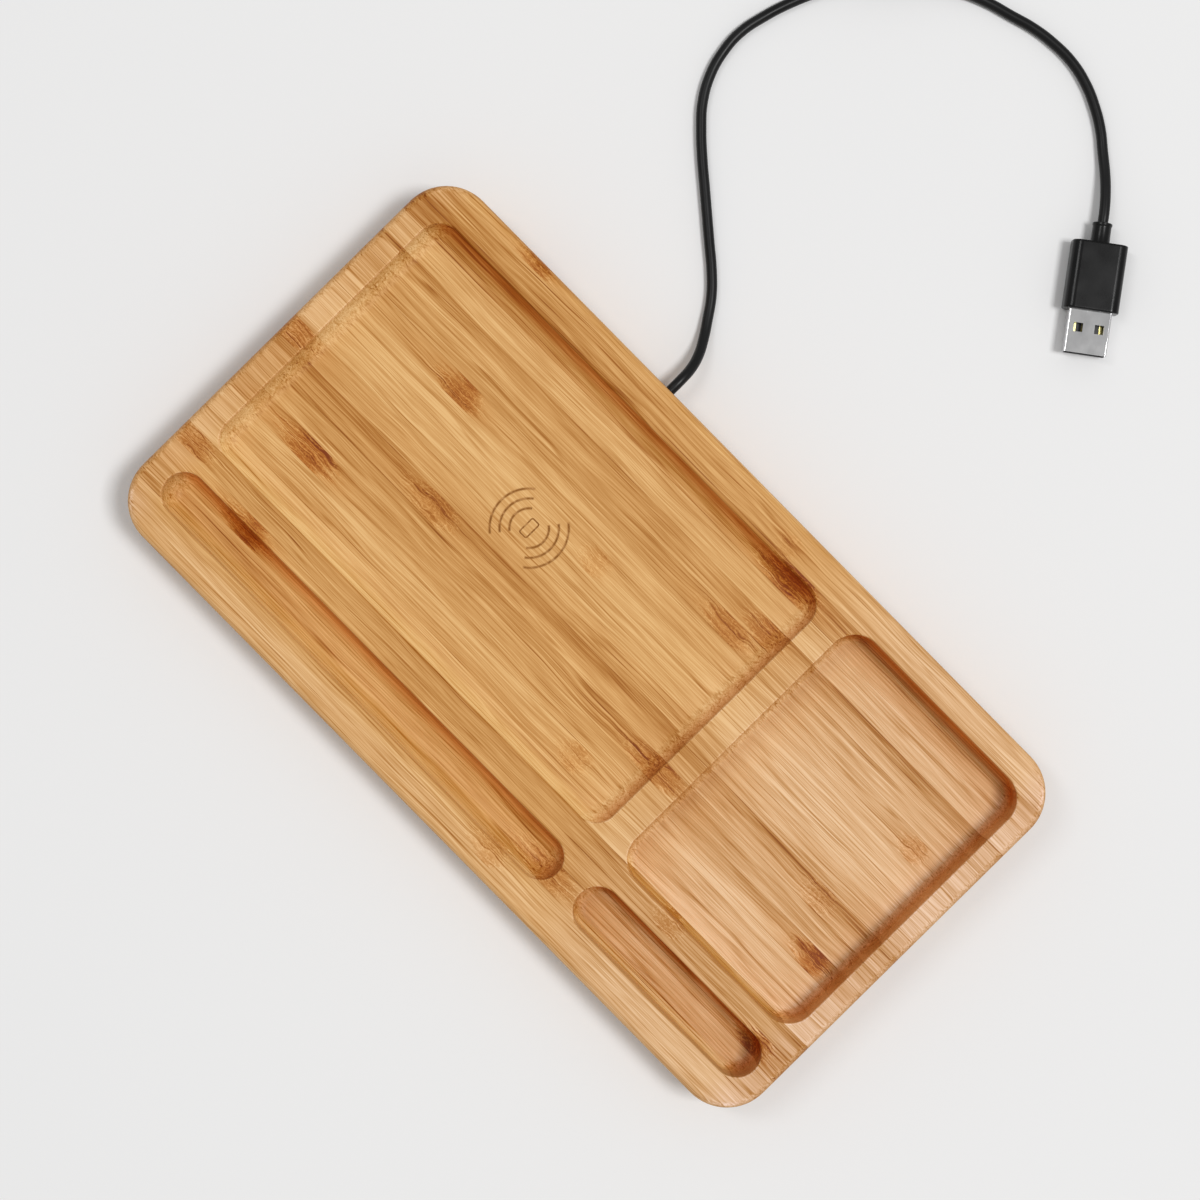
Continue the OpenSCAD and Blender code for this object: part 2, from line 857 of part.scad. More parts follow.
module cord_lead() {
    color("black")
        tube(concat([[core_x, tray_wid / 2, cord_z], [core_x, tray_wid / 2 + cord_straight, cord_z]],
            lead_points, [hank_start + [0, 0, hank_lift + cord_r]]), cord_r);
}

module cord_coil() {
    color("black")
        translate([hank_x, hank_y, hank_lift])
            rotate_extrude($fn = 96)
                translate([hank_mid_r, cord_d])
                    round_rect(hank_ring, 2 * cord_d, cord_r);
}

module cord_tail() {
    color("black")
        tube(concat([hank_start + [0, 0, hank_lift + 3 * cord_r]], tail_points,
            [plug_at - plug_straight * plug_dir, plug_at]), cord_r);
}

// Strap round the coil
module cord_tie() {
    in_wid = hank_ring + 2 * tie_play;
    in_h = 2 * (cord_d + slack);
    color("dimgray")
        translate([hank_x, hank_y, hank_lift + cord_d])
            rotate(tie_angle)
                translate([hank_mid_r, 0, 0])
                    rotate([90, 0, 0])
                        linear_extrude(tie_w, center = true)
                            difference() {
                                round_rect(in_wid + 2 * tie_t, in_h + 2 * tie_t, cord_r);
                                round_rect(in_wid, in_h, cord_r);
                            }
}

// Puts a section across the plug, that far along it from the end of the cord
module at_plug(along) {
    translate(plug_at)
        rotate([0, 0, plug_angle])
            translate([along, 0, 0])
                rotate([90, 0, 90])
                    children();
}

module plug_sleeve() {
    color("black")
        at_plug(0)
            difference() {
                cylinder(h = sleeve_len, r = sleeve_r);
                for (z = sleeve_grooves)
                    translate([0, 0, z])
                        difference() {
                            cylinder(h = sleeve_groove_w, r = sleeve_r + eps);
                            translate([0, 0, -eps])
                                cylinder(h = sleeve_groove_w + 2 * eps, r = sleeve_r - sleeve_groove_depth);
                        }
            }
}

module plug_grip() {
    color("black")
        difference() {
            at_plug(sleeve_len)
                linear_extrude(grip_len)
                    round_rect(grip_wid, grip_h, grip_edge_r);
            at_plug(grip_front - shell_in)
                linear_extrude(shell_in + eps)
                    round_rect(shell_wid + slack, shell_h + slack, shell_edge_r);
        }
}

module plug_shell() {
    color("silver")
        difference() {
            at_plug(grip_front - shell_in)
                linear_extrude(shell_in + shell_out)
                    difference() {
                        round_rect(shell_wid, shell_h, shell_edge_r);
                        square([shell_wid - 2 * shell_t, shell_h - 2 * shell_t], center = true);
                    }
            for (side = [-1, 1])
                at_plug(grip_front + window_x)
                    translate([side * window_y - window / 2, -shell_h, -window / 2])
                        cube([window, 2 * shell_h, window]);
        }
}

// Plastic core: a block in the shell's rear and the tongue that carries the contacts
module plug_tongue() {
    color("white")
        at_plug(grip_front - shell_in)
            translate([-core_wid / 2, -core_h / 2, 0]) {
                cube([core_wid, core_h, shell_in]);
                cube([core_wid, tongue_t, shell_in + shell_out - tongue_short]);
            }
}

module plug_contacts() {
    color("gold")
        at_plug(grip_front + contact_from_grip)
            for (i = [-1.5:1.5])
                translate([i * contact_step - contact_w / 2, tongue_t - core_h / 2, 0])
                    cube([contact_w, contact_t, contact_len]);
}

tray();
bottom_cover();
cover_screws();
foot_front_left();
foot_front_right();
foot_rear_left();
foot_rear_right();
coil_tape();
charging_coil();
coil_leads();
ferrite_plate();
insulating_film();
circuit_board();
board_screws();
controller_chip();
power_transistors();
power_inductor();
resonant_capacitors();
filter_capacitors();
chip_resistors();
clock_crystal();
status_leds();
wire_red();
wire_black();
wire_green();
wire_white();
inner_cord();
cord_clamp();
clamp_screws();
cord_bushing();
cord_lead();
cord_coil();
cord_tail();
cord_tie();
plug_sleeve();
plug_grip();
plug_shell();
plug_tongue();
plug_contacts();
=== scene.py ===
# %% [markdown]
# # A bamboo desk tray with a wireless charger under its phone recess
#
# The real object is one milled board of laminated bamboo. Four pockets are routed into it: a
# shallow recess for a phone, a deep pocket for small things, and two grooves for a pen and for
# clips. A charging coil and its circuit board sit in a bay under the recess, behind a cover, and
# a captive cord leaves the rear edge and ends in a USB plug.
#
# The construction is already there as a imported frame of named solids. This file gives every
# surface its looks, piece by piece, in metres and in the frame's own axes: +X along the tray,
# +Y towards the edge that the cord leaves, +Z up, and the desk at z = 0.

# %% Load the frame
import math
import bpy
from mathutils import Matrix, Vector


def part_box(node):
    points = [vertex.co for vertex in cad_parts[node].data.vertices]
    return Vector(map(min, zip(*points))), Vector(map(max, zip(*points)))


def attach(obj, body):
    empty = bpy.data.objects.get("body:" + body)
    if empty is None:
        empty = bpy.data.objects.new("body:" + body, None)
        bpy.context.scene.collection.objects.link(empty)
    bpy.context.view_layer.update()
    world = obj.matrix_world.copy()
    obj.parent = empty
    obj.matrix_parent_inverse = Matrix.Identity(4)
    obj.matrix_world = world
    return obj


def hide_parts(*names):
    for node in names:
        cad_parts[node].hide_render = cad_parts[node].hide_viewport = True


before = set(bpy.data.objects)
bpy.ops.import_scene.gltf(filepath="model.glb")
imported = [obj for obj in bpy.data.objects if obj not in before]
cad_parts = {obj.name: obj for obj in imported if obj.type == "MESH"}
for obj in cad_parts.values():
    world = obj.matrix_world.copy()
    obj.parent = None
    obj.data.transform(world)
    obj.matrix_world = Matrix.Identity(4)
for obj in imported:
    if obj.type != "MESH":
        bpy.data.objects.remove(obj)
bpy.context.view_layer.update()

from types import SimpleNamespace

import bmesh
import bpy
from mathutils import Matrix, Vector

MM = 0.001
tray_low, tray_high = (Vector(corner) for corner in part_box("tray"))
tray_size = tray_high - tray_low
tray_top = tray_high.z
CHARGER_X, CHARGER_Y = -34, 11.5        # mm, middle of the charging coil
CHANNEL_HIGH = 8.4                      # mm, middle of the cord's channel above the desk
print("nodes:", len(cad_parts), "tray in mm:", [round(size / MM, 1) for size in tray_size])

# %% [markdown]
# ## Objects
#
# Two things happen to nearly every piece, so each is a function: the piece is put into the
# scene, and it is attached to the tray's body while the nodes of the construction that it stands
# for are hidden.

# %% Helpers for objects
def add(name, data):
    """Puts an object with this data into the scene."""
    made = bpy.data.objects.new(name, data)
    bpy.context.collection.objects.link(made)
    return made


def stand_for(piece, slot, *nodes):
    """The piece rides on the tray's body and stands for these nodes of the construction."""
    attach(piece, "root")
    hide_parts(*nodes)


# %% [markdown]
# ## The camera
#
# The tray is looked at from straight above, as in a catalogue, with its length running down to
# the right. A real lens at arm's length keeps a trace of perspective: the walls on the far side
# of each pocket show a little more than the near ones. So this is a perspective camera 0.7 m
# above the tray, and not an orthographic one. It hangs over the middle line of the phone
# recess, and turning it about the vertical gives the slant.

# %% Camera
VIEW_ABOVE = 0.70        # lens above the tray's top face
VIEW_TURN = 45.4         # degrees from the tray's length to the view's width
VIEW_LENS = 77.5         # mm
view_over = Vector((-6.5 * MM, 11.5 * MM, 0))

camera_data = bpy.data.cameras.new("overhead_camera")
camera_data.lens = VIEW_LENS
camera_data.sensor_width = 36
camera_data.clip_start = 0.01
camera = add("overhead_camera", camera_data)
camera.location = view_over + Vector((0, 0, tray_top + VIEW_ABOVE))
camera.rotation_euler = (0, 0, math.radians(VIEW_TURN))
bpy.context.scene.camera = camera
bpy.context.scene.view_settings.view_transform = "Standard"
print("camera height:", round(camera.location.z, 3), "m")

# %% [markdown]
# ## The cord's route
#
# The cord is one fixed length of soft rubbery cable, 3 mm thick. It comes straight out of the
# bushing in the rear edge, drops to the desk, and swings away in loose curves. Its spare length
# is wound into a neat two-layer coil held by a strap, and from there the last stretch runs to
# the plug. Loose stretches are best kept as a short list of given points, because their curves
# follow no rule. The coil does follow one, so a loop works out its turns: inwards on the
# desk, then outwards on top of itself, one diameter apart.

# %% Cord route
CORD_D = 3 * MM
cord_exit = Vector((CHARGER_X * MM, tray_high.y, CHANNEL_HIGH * MM))
lead_points = [
    (-34, 70, 8.4), (-34.3, 74, 7), (-35.6, 78.5, 4.8), (-38, 83, 2.8), (-41, 87.5, 1.8),
    (-45, 93, 1.5), (-50, 98, 1.5), (-56, 103, 1.5), (-62, 108, 1.5), (-68, 113, 1.5),
    (-74, 118, 1.5), (-80, 123.5, 1.5), (-85, 129, 1.5), (-89, 136, 1.5), (-91, 143, 1.5),
    (-91.5, 150, 1.5), (-90, 158, 1.5), (-87.5, 166, 1.5), (-84, 174, 1.6), (-80, 181, 1.9)]
tail_points = [
    (-70, 192.4, 4.8), (-64, 197.2, 3.4), (-57, 201.4, 2.1), (-49.5, 204.8, 1.6), (-42, 207, 1.5),
    (-35, 209, 1.5), (-28, 210, 1.5), (-21, 210, 1.5), (-14, 208.5, 1.5), (-8, 206, 1.5),
    (-2, 202.5, 1.5), (3, 198.5, 1.6), (7.4, 194.8, 2.3), (11.4, 190.8, 3.4)]

COIL_X, COIL_Y = -91, 203
COIL_CENTRE = Vector((COIL_X * MM, COIL_Y * MM, 0))
COIL_R = 22 * MM
COIL_TURNS = 3.5         # in each of the two layers
COIL_START = -45         # degrees
COIL_LOW = 2.2 * MM      # middle of the lower layer above the desk
STEPS = 16               # points in one turn

PLUG_ANGLE = math.radians(-53)
PLUG_STRAIGHT = 3 * MM   # straight stretch of cord behind the plug
plug_at = Vector((17 * MM, 184 * MM, 4 * MM))
plug_along = Vector((math.cos(PLUG_ANGLE), math.sin(PLUG_ANGLE), 0))


def coil_point(step):
    """Point of the coil after that many steps from its outer end on the desk."""
    turns = step / STEPS
    inward = min(turns, 2 * COIL_TURNS - turns)
    climb = min(max(2 * (turns - COIL_TURNS) + 0.5, 0), 1)
    angle = math.radians(COIL_START + 360 * turns)
    r = COIL_R - CORD_D * inward
    height = COIL_LOW + CORD_D * climb
    return COIL_CENTRE + Vector((r * math.cos(angle), r * math.sin(angle), height))


coil_points = [coil_point(step) for step in range(int(2 * COIL_TURNS * STEPS) + 1)]
cord_route = (
    [cord_exit] + [Vector(p) * MM for p in lead_points] + coil_points
    + [Vector(p) * MM for p in tail_points] + [plug_at - PLUG_STRAIGHT * plug_along, plug_at])
cord_length = sum((b - a).length for a, b in zip(cord_route, cord_route[1:]))
print("cord:", len(cord_route), "points,", round(cord_length, 3), "m")

# %% [markdown]
# ## The light
#
# A product table is lit by one large soft box and by the white room around it. The soft box
# stands beyond the rear right corner, so the pocket walls on that side fall into warm shade and
# the opposite walls catch light. It also stands so far back that no level face mirrors it
# towards the camera, which would turn the plug's bright metal into a white patch. The room is a
# plain bright world. A small, weak strip light hangs on the other side: all it does is draw a
# line of light along rounded black edges and the fold of the metal. All three together are set
# so that a level face gets about as much light as makes a colour render as it is written.

# %% Light
ROOM = 0.42              # share of a level face's light that comes from the room
SOFT_BOX_AT = Vector((1.15, 0.93, 3.45))
SOFT_BOX_SIZE = (0.9, 0.9)
SOFT_BOX_POWER = 72      # watts
STRIP_AT = Vector((-1.07, -0.22, 2.10))
STRIP_SIZE = (0.35, 0.8)
STRIP_POWER = 6.5        # watts

world = bpy.data.worlds.new("white_room")
world.use_nodes = True
world.node_tree.nodes["Background"].inputs["Color"].default_value = (1, 0.995, 0.985, 1)
world.node_tree.nodes["Background"].inputs["Strength"].default_value = ROOM
bpy.context.scene.world = world


def area_light(name, place, size, power):
    """Rectangular light that faces a spot near the tray's middle."""
    target = Vector((0, 0.03, 0))
    data = bpy.data.lights.new(name, "AREA")
    data.shape = "RECTANGLE"
    data.size, data.size_y = size
    data.energy = power
    lamp = add(name, data)
    lamp.location = place
    lamp.rotation_euler = (target - place).to_track_quat("-Z", "Y").to_euler()


area_light("soft_box", SOFT_BOX_AT, SOFT_BOX_SIZE, SOFT_BOX_POWER)
area_light("strip_light", STRIP_AT, STRIP_SIZE, STRIP_POWER)

# %% [markdown]
# ## Small helpers for materials
#
# Every finish below is a tree of nodes, worked out in millimetres in the object's own space.
# Wood is solid, so its pattern has to run through the board: a wall that the router has opened
# shows the same fibres as the face above it. Object coordinates give that for free.
#
# Trees get long, so the helpers let them be written like sums. A value on its way through a tree
# can be added, multiplied and compared like a number, and each sign adds the node that does it.
# All helpers add to the tree that was begun last, and feed its shader.

# %% Helpers for trees
begun = SimpleNamespace(tree=None, shader=None)


class Flow:
    """A value on its way through a tree."""

    def __init__(self, socket):
        self.socket = socket

    def __add__(self, other):
        return calc("ADD", self, other)

    def __sub__(self, other):
        return calc("SUBTRACT", self, other)

    def __rsub__(self, other):
        return calc("SUBTRACT", other, self)

    def __mul__(self, other):
        return calc("MULTIPLY", self, other)

    def __truediv__(self, other):
        return calc("DIVIDE", self, other)

    def __lt__(self, other):
        return calc("LESS_THAN", self, other)

    def __gt__(self, other):
        return calc("GREATER_THAN", self, other)

    def __abs__(self):
        return calc("ABSOLUTE", self)

    __radd__, __rmul__ = __add__, __mul__


class Outputs:
    """What a node gives, by number or by name."""

    def __init__(self, made):
        self.node = made

    def __getitem__(self, key):
        return Flow(self.node.outputs[key])


def feed(socket, value):
    """Sets a socket to a value, or links it to one output or to a list of them."""
    for source in value if isinstance(value, list) else [value]:
        if isinstance(source, Flow):
            begun.tree.links.new(source.socket, socket)
        else:
            socket.default_value = source


def node(kind, sockets=None, **settings):
    """Adds a node, feeds its sockets and gives back its outputs."""
    made = begun.tree.nodes.new(kind)
    for name, value in settings.items():
        setattr(made, name, value)
    for name, value in (sockets or {}).items():
        feed(made.inputs[name], value)
    return Outputs(made)


def calc(operation, *values):
    """Arithmetic by a node, on vectors if the first flow among the values is one."""
    first = next(value for value in values if isinstance(value, Flow))
    kind = "ShaderNodeVectorMath" if first.socket.type == "VECTOR" else "ShaderNodeMath"
    made = node(kind, dict(enumerate(values)), operation=operation)
    return made["Value" if operation == "LENGTH" else 0]


def split(vector):
    return node("ShaderNodeSeparateXYZ", {0: vector})


def join(**parts):
    return node("ShaderNodeCombineXYZ", parts)[0]


def rise(value, low, high, to_low=0.0, to_high=1.0):
    """Smooth step of a value from low to high."""
    return node("ShaderNodeMapRange", {
        "Value": value, "From Min": low, "From Max": high, "To Min": to_low, "To Max": to_high},
        interpolation_type="SMOOTHSTEP")[0]


def place_in_mm():
    return node("ShaderNodeTexCoord")["Object"] * (1000, 1000, 1000)


def noise(place, grain, detail=2.0, roughness=0.5):
    """Noise from 0 to 1 whose grains are about that many millimetres along X, Y and Z."""
    return node("ShaderNodeTexNoise", {
        "Vector": place / even(grain), "Scale": 1.0, "Detail": detail, "Roughness": roughness})[0]


def even(size):
    """The same size along all three axes, if only one is given."""
    return size if isinstance(size, tuple) else (size, size, size)


def cells(place, grain):
    """Cells of about that many millimetres."""
    return node("ShaderNodeTexVoronoi", {"Vector": place / even(grain), "Scale": 1.0})


def ramp(value, stops, interpolation="LINEAR"):
    """Colour ramp from a list of (position, colour)."""
    made = node("ShaderNodeValToRGB", {"Fac": value})
    made.node.color_ramp.interpolation = interpolation
    elements = made.node.color_ramp.elements
    while len(elements) < len(stops):
        elements.new(1.0)
    for element, (position, colour) in zip(elements, stops):
        element.position = position
        element.color = (*colour, 1)
    return made["Color"]


def mix(factor, first, second, blend="MIX"):
    """Blend of two colours. The mixing node has its colour sockets after those for numbers."""
    sockets = {0: factor, 6: first, 7: second}
    return node("ShaderNodeMix", sockets, data_type="RGBA", blend_type=blend)[2]


# %% Helpers for finishes
def surface(**sockets):
    """Feeds the shader of the finish that was begun last."""
    for name, value in sockets.items():
        feed(begun.shader.inputs[name.replace("_", " ")], value)


def new_finish(name, **sockets):
    """Begins a material. Values that are the same everywhere are set straight on its shader."""
    material = bpy.data.materials.new(name)
    material.use_nodes = True
    begun.tree = material.node_tree
    begun.shader = begun.tree.nodes["Principled BSDF"]
    surface(**sockets)
    return material


def bump(height, depth, strength=1.0):
    """Relief of that many millimetres between height 0 and height 1."""
    surface(Normal=node("ShaderNodeBump", {
        "Strength": strength, "Distance": depth * MM, "Height": height})[0])


print("helpers ready, Blender", bpy.app.version_string)

# %% [markdown]
# ## The table
#
# The table is only there to receive a shadow, so it is a plain pale sheet, far larger than the
# tray.

# %% Table
TABLE_HALF = 3           # m
table_finish = new_finish("pale_table", Roughness=0.9, Specular_IOR_Level=0.1)
shade = noise(place_in_mm(), 300)
surface(Base_Color=ramp(shade, [(0, (0.832, 0.832, 0.837)), (1, (0.852, 0.852, 0.852))]))
table_mesh = bpy.data.meshes.new("table")
table_mesh.from_pydata(
    [(x * TABLE_HALF, y * TABLE_HALF, 0) for x, y in ((-1, -1), (1, -1), (1, 1), (-1, 1))],
    [], [(0, 1, 2, 3)])
table_mesh.materials.append(table_finish)
table = add("table", table_mesh)
print("table:", 2 * TABLE_HALF, "m wide")

# %% [markdown]
# ## The cord
#
# A bevelled curve is the simplest way to a cord: it keeps a round section along any route, and
# the frame can measure its length. The spline passes through every point of the route with
# automatic handles, so that it bends like a rod and never has a corner. The jacket is smooth
# satin rubber. What makes it look real is small: a fine skin, a little unevenness in the gloss,
# and here and there some dust.

# %% Cord
jacket = new_finish("cord_jacket", Specular_IOR_Level=0.22)
place = place_in_mm()
cloudy = noise(place, 14, detail=4)
surface(
    Base_Color=ramp(
        cloudy, [(0.25, (0.0050, 0.0050, 0.0053)), (0.8, (0.0105, 0.0105, 0.0108))]),
    Roughness=rise(cloudy, 0.2, 0.85, 0.3, 0.42))
bump(noise(place, 0.35, detail=3), 0.02, 0.5)

cord_curve = bpy.data.curves.new("cord", "CURVE")
cord_curve.dimensions = "3D"
cord_curve.bevel_depth = CORD_D / 2
cord_curve.bevel_resolution = 5
cord_curve.resolution_u = 5
cord_curve.use_fill_caps = True
spline = cord_curve.splines.new("BEZIER")
spline.bezier_points.add(len(cord_route) - 1)
for bezier, place in zip(spline.bezier_points, cord_route):
    bezier.co = place
    bezier.handle_left_type = bezier.handle_right_type = "AUTO"
cord_curve.materials.append(jacket)
cord = add("cord", cord_curve)
stand_for(cord, "cord_jacket", "cord_lead", "cord_coil", "cord_tail")
print("cord's jacket:", len(jacket.node_tree.nodes), "nodes")

# %% [markdown]
# ## Helpers for Geometry Nodes
#
# A shape that follows a rule is best written as the rule. Geometry Nodes do that: sizes go in
# by name, and the tree works out every vertex. The tree is kept as a recipe, and each piece is
# cooked from it once, into a plain mesh that no longer depends on the tree.

# %% Helpers for Geometry Nodes
def new_tree(name, **sizes):
    """Begins a tree whose inputs have these names and default values, and one for the finish."""
    tree = begun.tree = bpy.data.node_groups.new(name, "GeometryNodeTree")
    tree.interface.new_socket("Geometry", in_out="OUTPUT", socket_type="NodeSocketGeometry")
    tree.interface.new_socket("places", in_out="INPUT", socket_type="NodeSocketGeometry")
    for label, value in sizes.items():
        kind = {int: "Int", float: "Float", tuple: "Vector"}[type(value)]
        socket = tree.interface.new_socket(label, in_out="INPUT", socket_type="NodeSocket" + kind)
        socket.default_value = value
    tree.interface.new_socket("finish", in_out="INPUT", socket_type="NodeSocketMaterial")
    return tree, Outputs(tree.nodes.new("NodeGroupInput"))


def end_tree(given, shape):
    """Turns copies into real faces, gives them the finish and hands the shape over."""
    real = node("GeometryNodeRealizeInstances", {"Geometry": shape})[0]
    done = node("GeometryNodeSetMaterial", {"Geometry": real, "Material": given["finish"]})[0]
    node("NodeGroupOutput", {"Geometry": done})


def settle(made):
    """Swaps an object's modifier for the plain mesh that it leads to."""
    graph = bpy.context.evaluated_depsgraph_get()
    made.data = bpy.data.meshes.new_from_object(made.evaluated_get(graph), depsgraph=graph)
    made.modifiers.clear()
    return made.data


def cook(tree, name, finish, places=(), **sizes):
    """Plain mesh object made by the tree at these places and with these sizes."""
    points = bpy.data.meshes.new(name + "_places")
    points.from_pydata(list(places), [], [])
    made = add(name, points)
    modifier = made.modifiers.new(name, "NODES")
    modifier.node_group = tree
    for socket in tree.interface.items_tree:
        if socket.in_out == "INPUT" and socket.name in sizes:
            modifier[socket.identifier] = sizes[socket.name]
        elif socket.in_out == "INPUT" and socket.name == "finish":
            modifier[socket.identifier] = finish
    settle(made).name = name
    return made


# %% [markdown]
# ## A routed edge
#
# Every edge of the tray comes from a router bit that follows a template. A round-nosed bit
# leaves a hollow cove where a wall meets the floor, and a second pass rounds the mouth. So one
# rule makes all of them: a section of two arcs, swept round a rectangle with round corners. The
# same rule makes the outside of the board, if the upper arc leans inwards instead of outwards.
# Sweeping needs no booleans, and it leaves long even strips of faces that shade smoothly.
#
# The tree starts from a grid. Its columns run round the rectangle and its rows run up the
# section. A narrow flat margin at either end keeps the smooth shading of the curved part from
# leaning over the flat faces beside it.

# %% Tree for a routed edge
QUARTER = math.pi / 2
edge_tree, given = new_tree(
    "routed_edge", length=0.1, width=0.05, corner=0.01, depth=0.01, low_radius=0.003,
    top_radius=0.001, flare=1.0, middle=(0.0, 0.0, 0.0), margin=0.0003, corner_steps=16,
    arc_steps=10)

rows = given["arc_steps"] * 2.0 + 4.0
per_corner = given["corner_steps"] + 1.0
columns = per_corner * 4.0 + 1.0
grid = node("GeometryNodeMeshGrid", {"Vertices X": columns, "Vertices Y": rows})["Mesh"]
index = node("GeometryNodeInputIndex")[0]
column = calc("FLOOR", (index + 0.5) / rows)
row = index - column * rows

# Which corner a column belongs to, and its direction out of that corner's centre
corner = calc("FLOOR", (column + 0.5) / per_corner)
step = column - corner * per_corner
turn = (corner + step / given["corner_steps"]) * QUARTER
corner_turn = (corner + 0.5) * QUARTER

# How far the lower arc stops short of upright, where it runs straight into the upper arc
both = given["low_radius"] + given["top_radius"]
lack = (both - given["depth"]) / both
short = calc("ARCSINE", calc("MAXIMUM", lack, 0.0))
sweep = QUARTER - short
lean = given["flare"] * (both * calc("COSINE", short) - given["low_radius"])


def clamped(share):
    return calc("MINIMUM", calc("MAXIMUM", share, 0.0), 1.0)


# Lower arc, then upper arc, each as a distance from the corner's centre and a height
low_share = clamped((row - 1.0) / given["arc_steps"])
low_angle = low_share * sweep - QUARTER
low_x = given["low_radius"] * (calc("COSINE", low_angle) - 1.0)
low_z = given["low_radius"] * (calc("SINE", low_angle) + 1.0) - given["depth"]
top_row = given["arc_steps"] + 2.0
top_share = clamped((row - top_row) / given["arc_steps"])
top_angle = short + top_share * sweep
top_x = lean - given["flare"] * given["top_radius"] * calc("COSINE", top_angle)
top_z = given["top_radius"] * (calc("SINE", top_angle) - 1.0)
is_top = row > top_row - 0.5
is_first = row < 0.5
is_last = row > rows - 1.5
margins = given["margin"] * (is_last * given["flare"] - is_first)


def pick(choice, first, second):
    """The first value where the choice is 0, the second where it is 1."""
    return (second - first) * choice + first


out = pick(is_top, low_x, top_x) + margins + given["corner"]
height = pick(is_top, low_z, top_z)


def along_side(size, wave):
    """Place along one axis: the corner's centre, then out from it."""
    straight = given[size] * 0.5 - given["corner"]
    centre = straight * calc("SIGN", calc(wave, corner_turn))
    return centre + out * calc(wave, turn)


spot = join(X=along_side("length", "COSINE"), Y=along_side("width", "SINE"), Z=height)
placed = node("GeometryNodeSetPosition", {
    "Geometry": grid, "Position": spot + given["middle"]})[0]
merged = node("GeometryNodeMergeByDistance", {"Geometry": placed, "Distance": 0.001 * MM})[0]
end_tree(given, merged)
print("routed_edge:", len(edge_tree.nodes), "nodes")

# %% [markdown]
# ## The board and its four pockets
#
# The board is 240 by 130 by 18 mm. The sizes below are those of the routed template. The phone
# recess is shallow, so its cove never stands upright: it runs straight into the rounded mouth.
# The box pocket and the clip groove are deep and have a real wall between the two arcs.

# %% Board and pockets
board_edge = dict(
    length=tray_size.x, width=tray_size.y, corner=14 * MM, depth=tray_size.z, low_radius=1.5 * MM,
    top_radius=2.5 * MM, flare=-1.0, middle=(0, 0, tray_top))
MOUTH_R = 0.6 * MM
RECESS_DEEP = 4           # mm
POCKETS = {               # middle, length, width, corner, depth and cove, in mm
    "phone_recess": (-37, 10.25, 150, 88.5, 7, RECESS_DEEP, 5.5),
    "box_pocket": (80, 10.75, 67, 91.5, 8, 11, 3),
    "pen_groove": (-37, -48.75, 150, 12.5, 6.25, 6, 5.5),
    "clip_groove": (80, -48.25, 67, 13.5, 6.75, 11, 3.5)}

edges = {"board": cook(edge_tree, "board", None, **board_edge)}
for name, sizes in POCKETS.items():
    x, y, length, width, corner, depth, cove = (size * MM for size in sizes)
    edges[name] = cook(
        edge_tree, name, None, length=length, width=width, corner=corner, depth=depth,
        low_radius=cove, top_radius=MOUTH_R, flare=1.0, middle=(x, y, tray_top))
for name, edge in edges.items():
    print(name, len(edge.data.polygons), "faces")

# %% [markdown]
# ## The charging mark
#
# Three pairs of arcs and a small phone outline show where the coil lies. On the real tray a
# laser burns them about a quarter of a millimetre deep, so they are true grooves here: each is a
# band between two lines, sunk below the floor of the recess. The floor is then filled with
# triangles round them.

# %% Charging mark
CHARGE_AT = Vector((CHARGER_X, CHARGER_Y)) * MM
ARC_RADII = (5.4, 8.1, 10.8)
ARC_HALF = 52            # degrees to either side
LINE = 0.4 * MM
BURNT_DEPTH = 0.25 * MM
recess_floor = tray_top - RECESS_DEEP * MM


def around(r, start, stop, steps, centre=(0, 0)):
    turns = [math.radians(start + (stop - start) * i / steps) for i in range(steps + 1)]
    return [Vector((centre[0] + r * math.cos(a), centre[1] + r * math.sin(a))) for a in turns]


def round_outline(x, y, r, margin=0):
    """Rectangle with round corners, anticlockwise. It may have a margin beside each corner."""
    points = []
    for quarter, (sx, sy) in enumerate([(1, 1), (-1, 1), (-1, -1), (1, -1)]):
        centre = (sx * (x / 2 - r), sy * (y / 2 - r))
        arc = around(r, 90 * quarter, 90 * quarter + 90, 6, centre)
        if margin:
            sine, cosine = math.sin(QUARTER * quarter), math.cos(QUARTER * quarter)
            arc.insert(0, arc[0] + margin * Vector((sine, -cosine)))
            arc.append(arc[-1] + margin * Vector((-cosine, -sine)))
        points += arc
    return points


bands = []               # outer line, inner line, closed or not
for r in ARC_RADII:
    for side in (0, 180):
        span = (side - ARC_HALF, side + ARC_HALF, 28)
        bands.append((around(r * MM + LINE / 2, *span), around(r * MM - LINE / 2, *span), False))
bands.append((
    round_outline(3 * MM, 5.6 * MM, 0.7 * MM),
    round_outline(3 * MM - 2 * LINE, 5.6 * MM - 2 * LINE, 0.7 * MM - LINE), True))


def sink_band(bm, outer, inner, closed):
    """Adds a groove below the recess floor. Gives back its edges at the floor, outer first."""
    lines = []
    for height in (recess_floor, recess_floor - BURNT_DEPTH):
        for line in (outer, inner):
            lines.append([bm.verts.new((*(CHARGE_AT + p), height)) for p in line])
    top_out, top_in, low_out, low_in = lines
    count = len(outer)
    for i in range(count if closed else count - 1):
        k = (i + 1) % count
        bm.faces.new((low_out[i], low_out[k], low_in[k], low_in[i]))
        bm.faces.new((top_out[i], top_out[k], low_out[k], low_out[i]))
        bm.faces.new((top_in[k], top_in[i], low_in[i], low_in[k]))
    if not closed:
        for i in (0, -1):
            bm.faces.new((top_out[i], low_out[i], low_in[i], top_in[i]))
    bm.edges.index_update()

    def open_edges(verts):
        return {edge for vert in verts for edge in vert.link_edges if edge.is_boundary}

    return open_edges(top_out), open_edges(top_in)


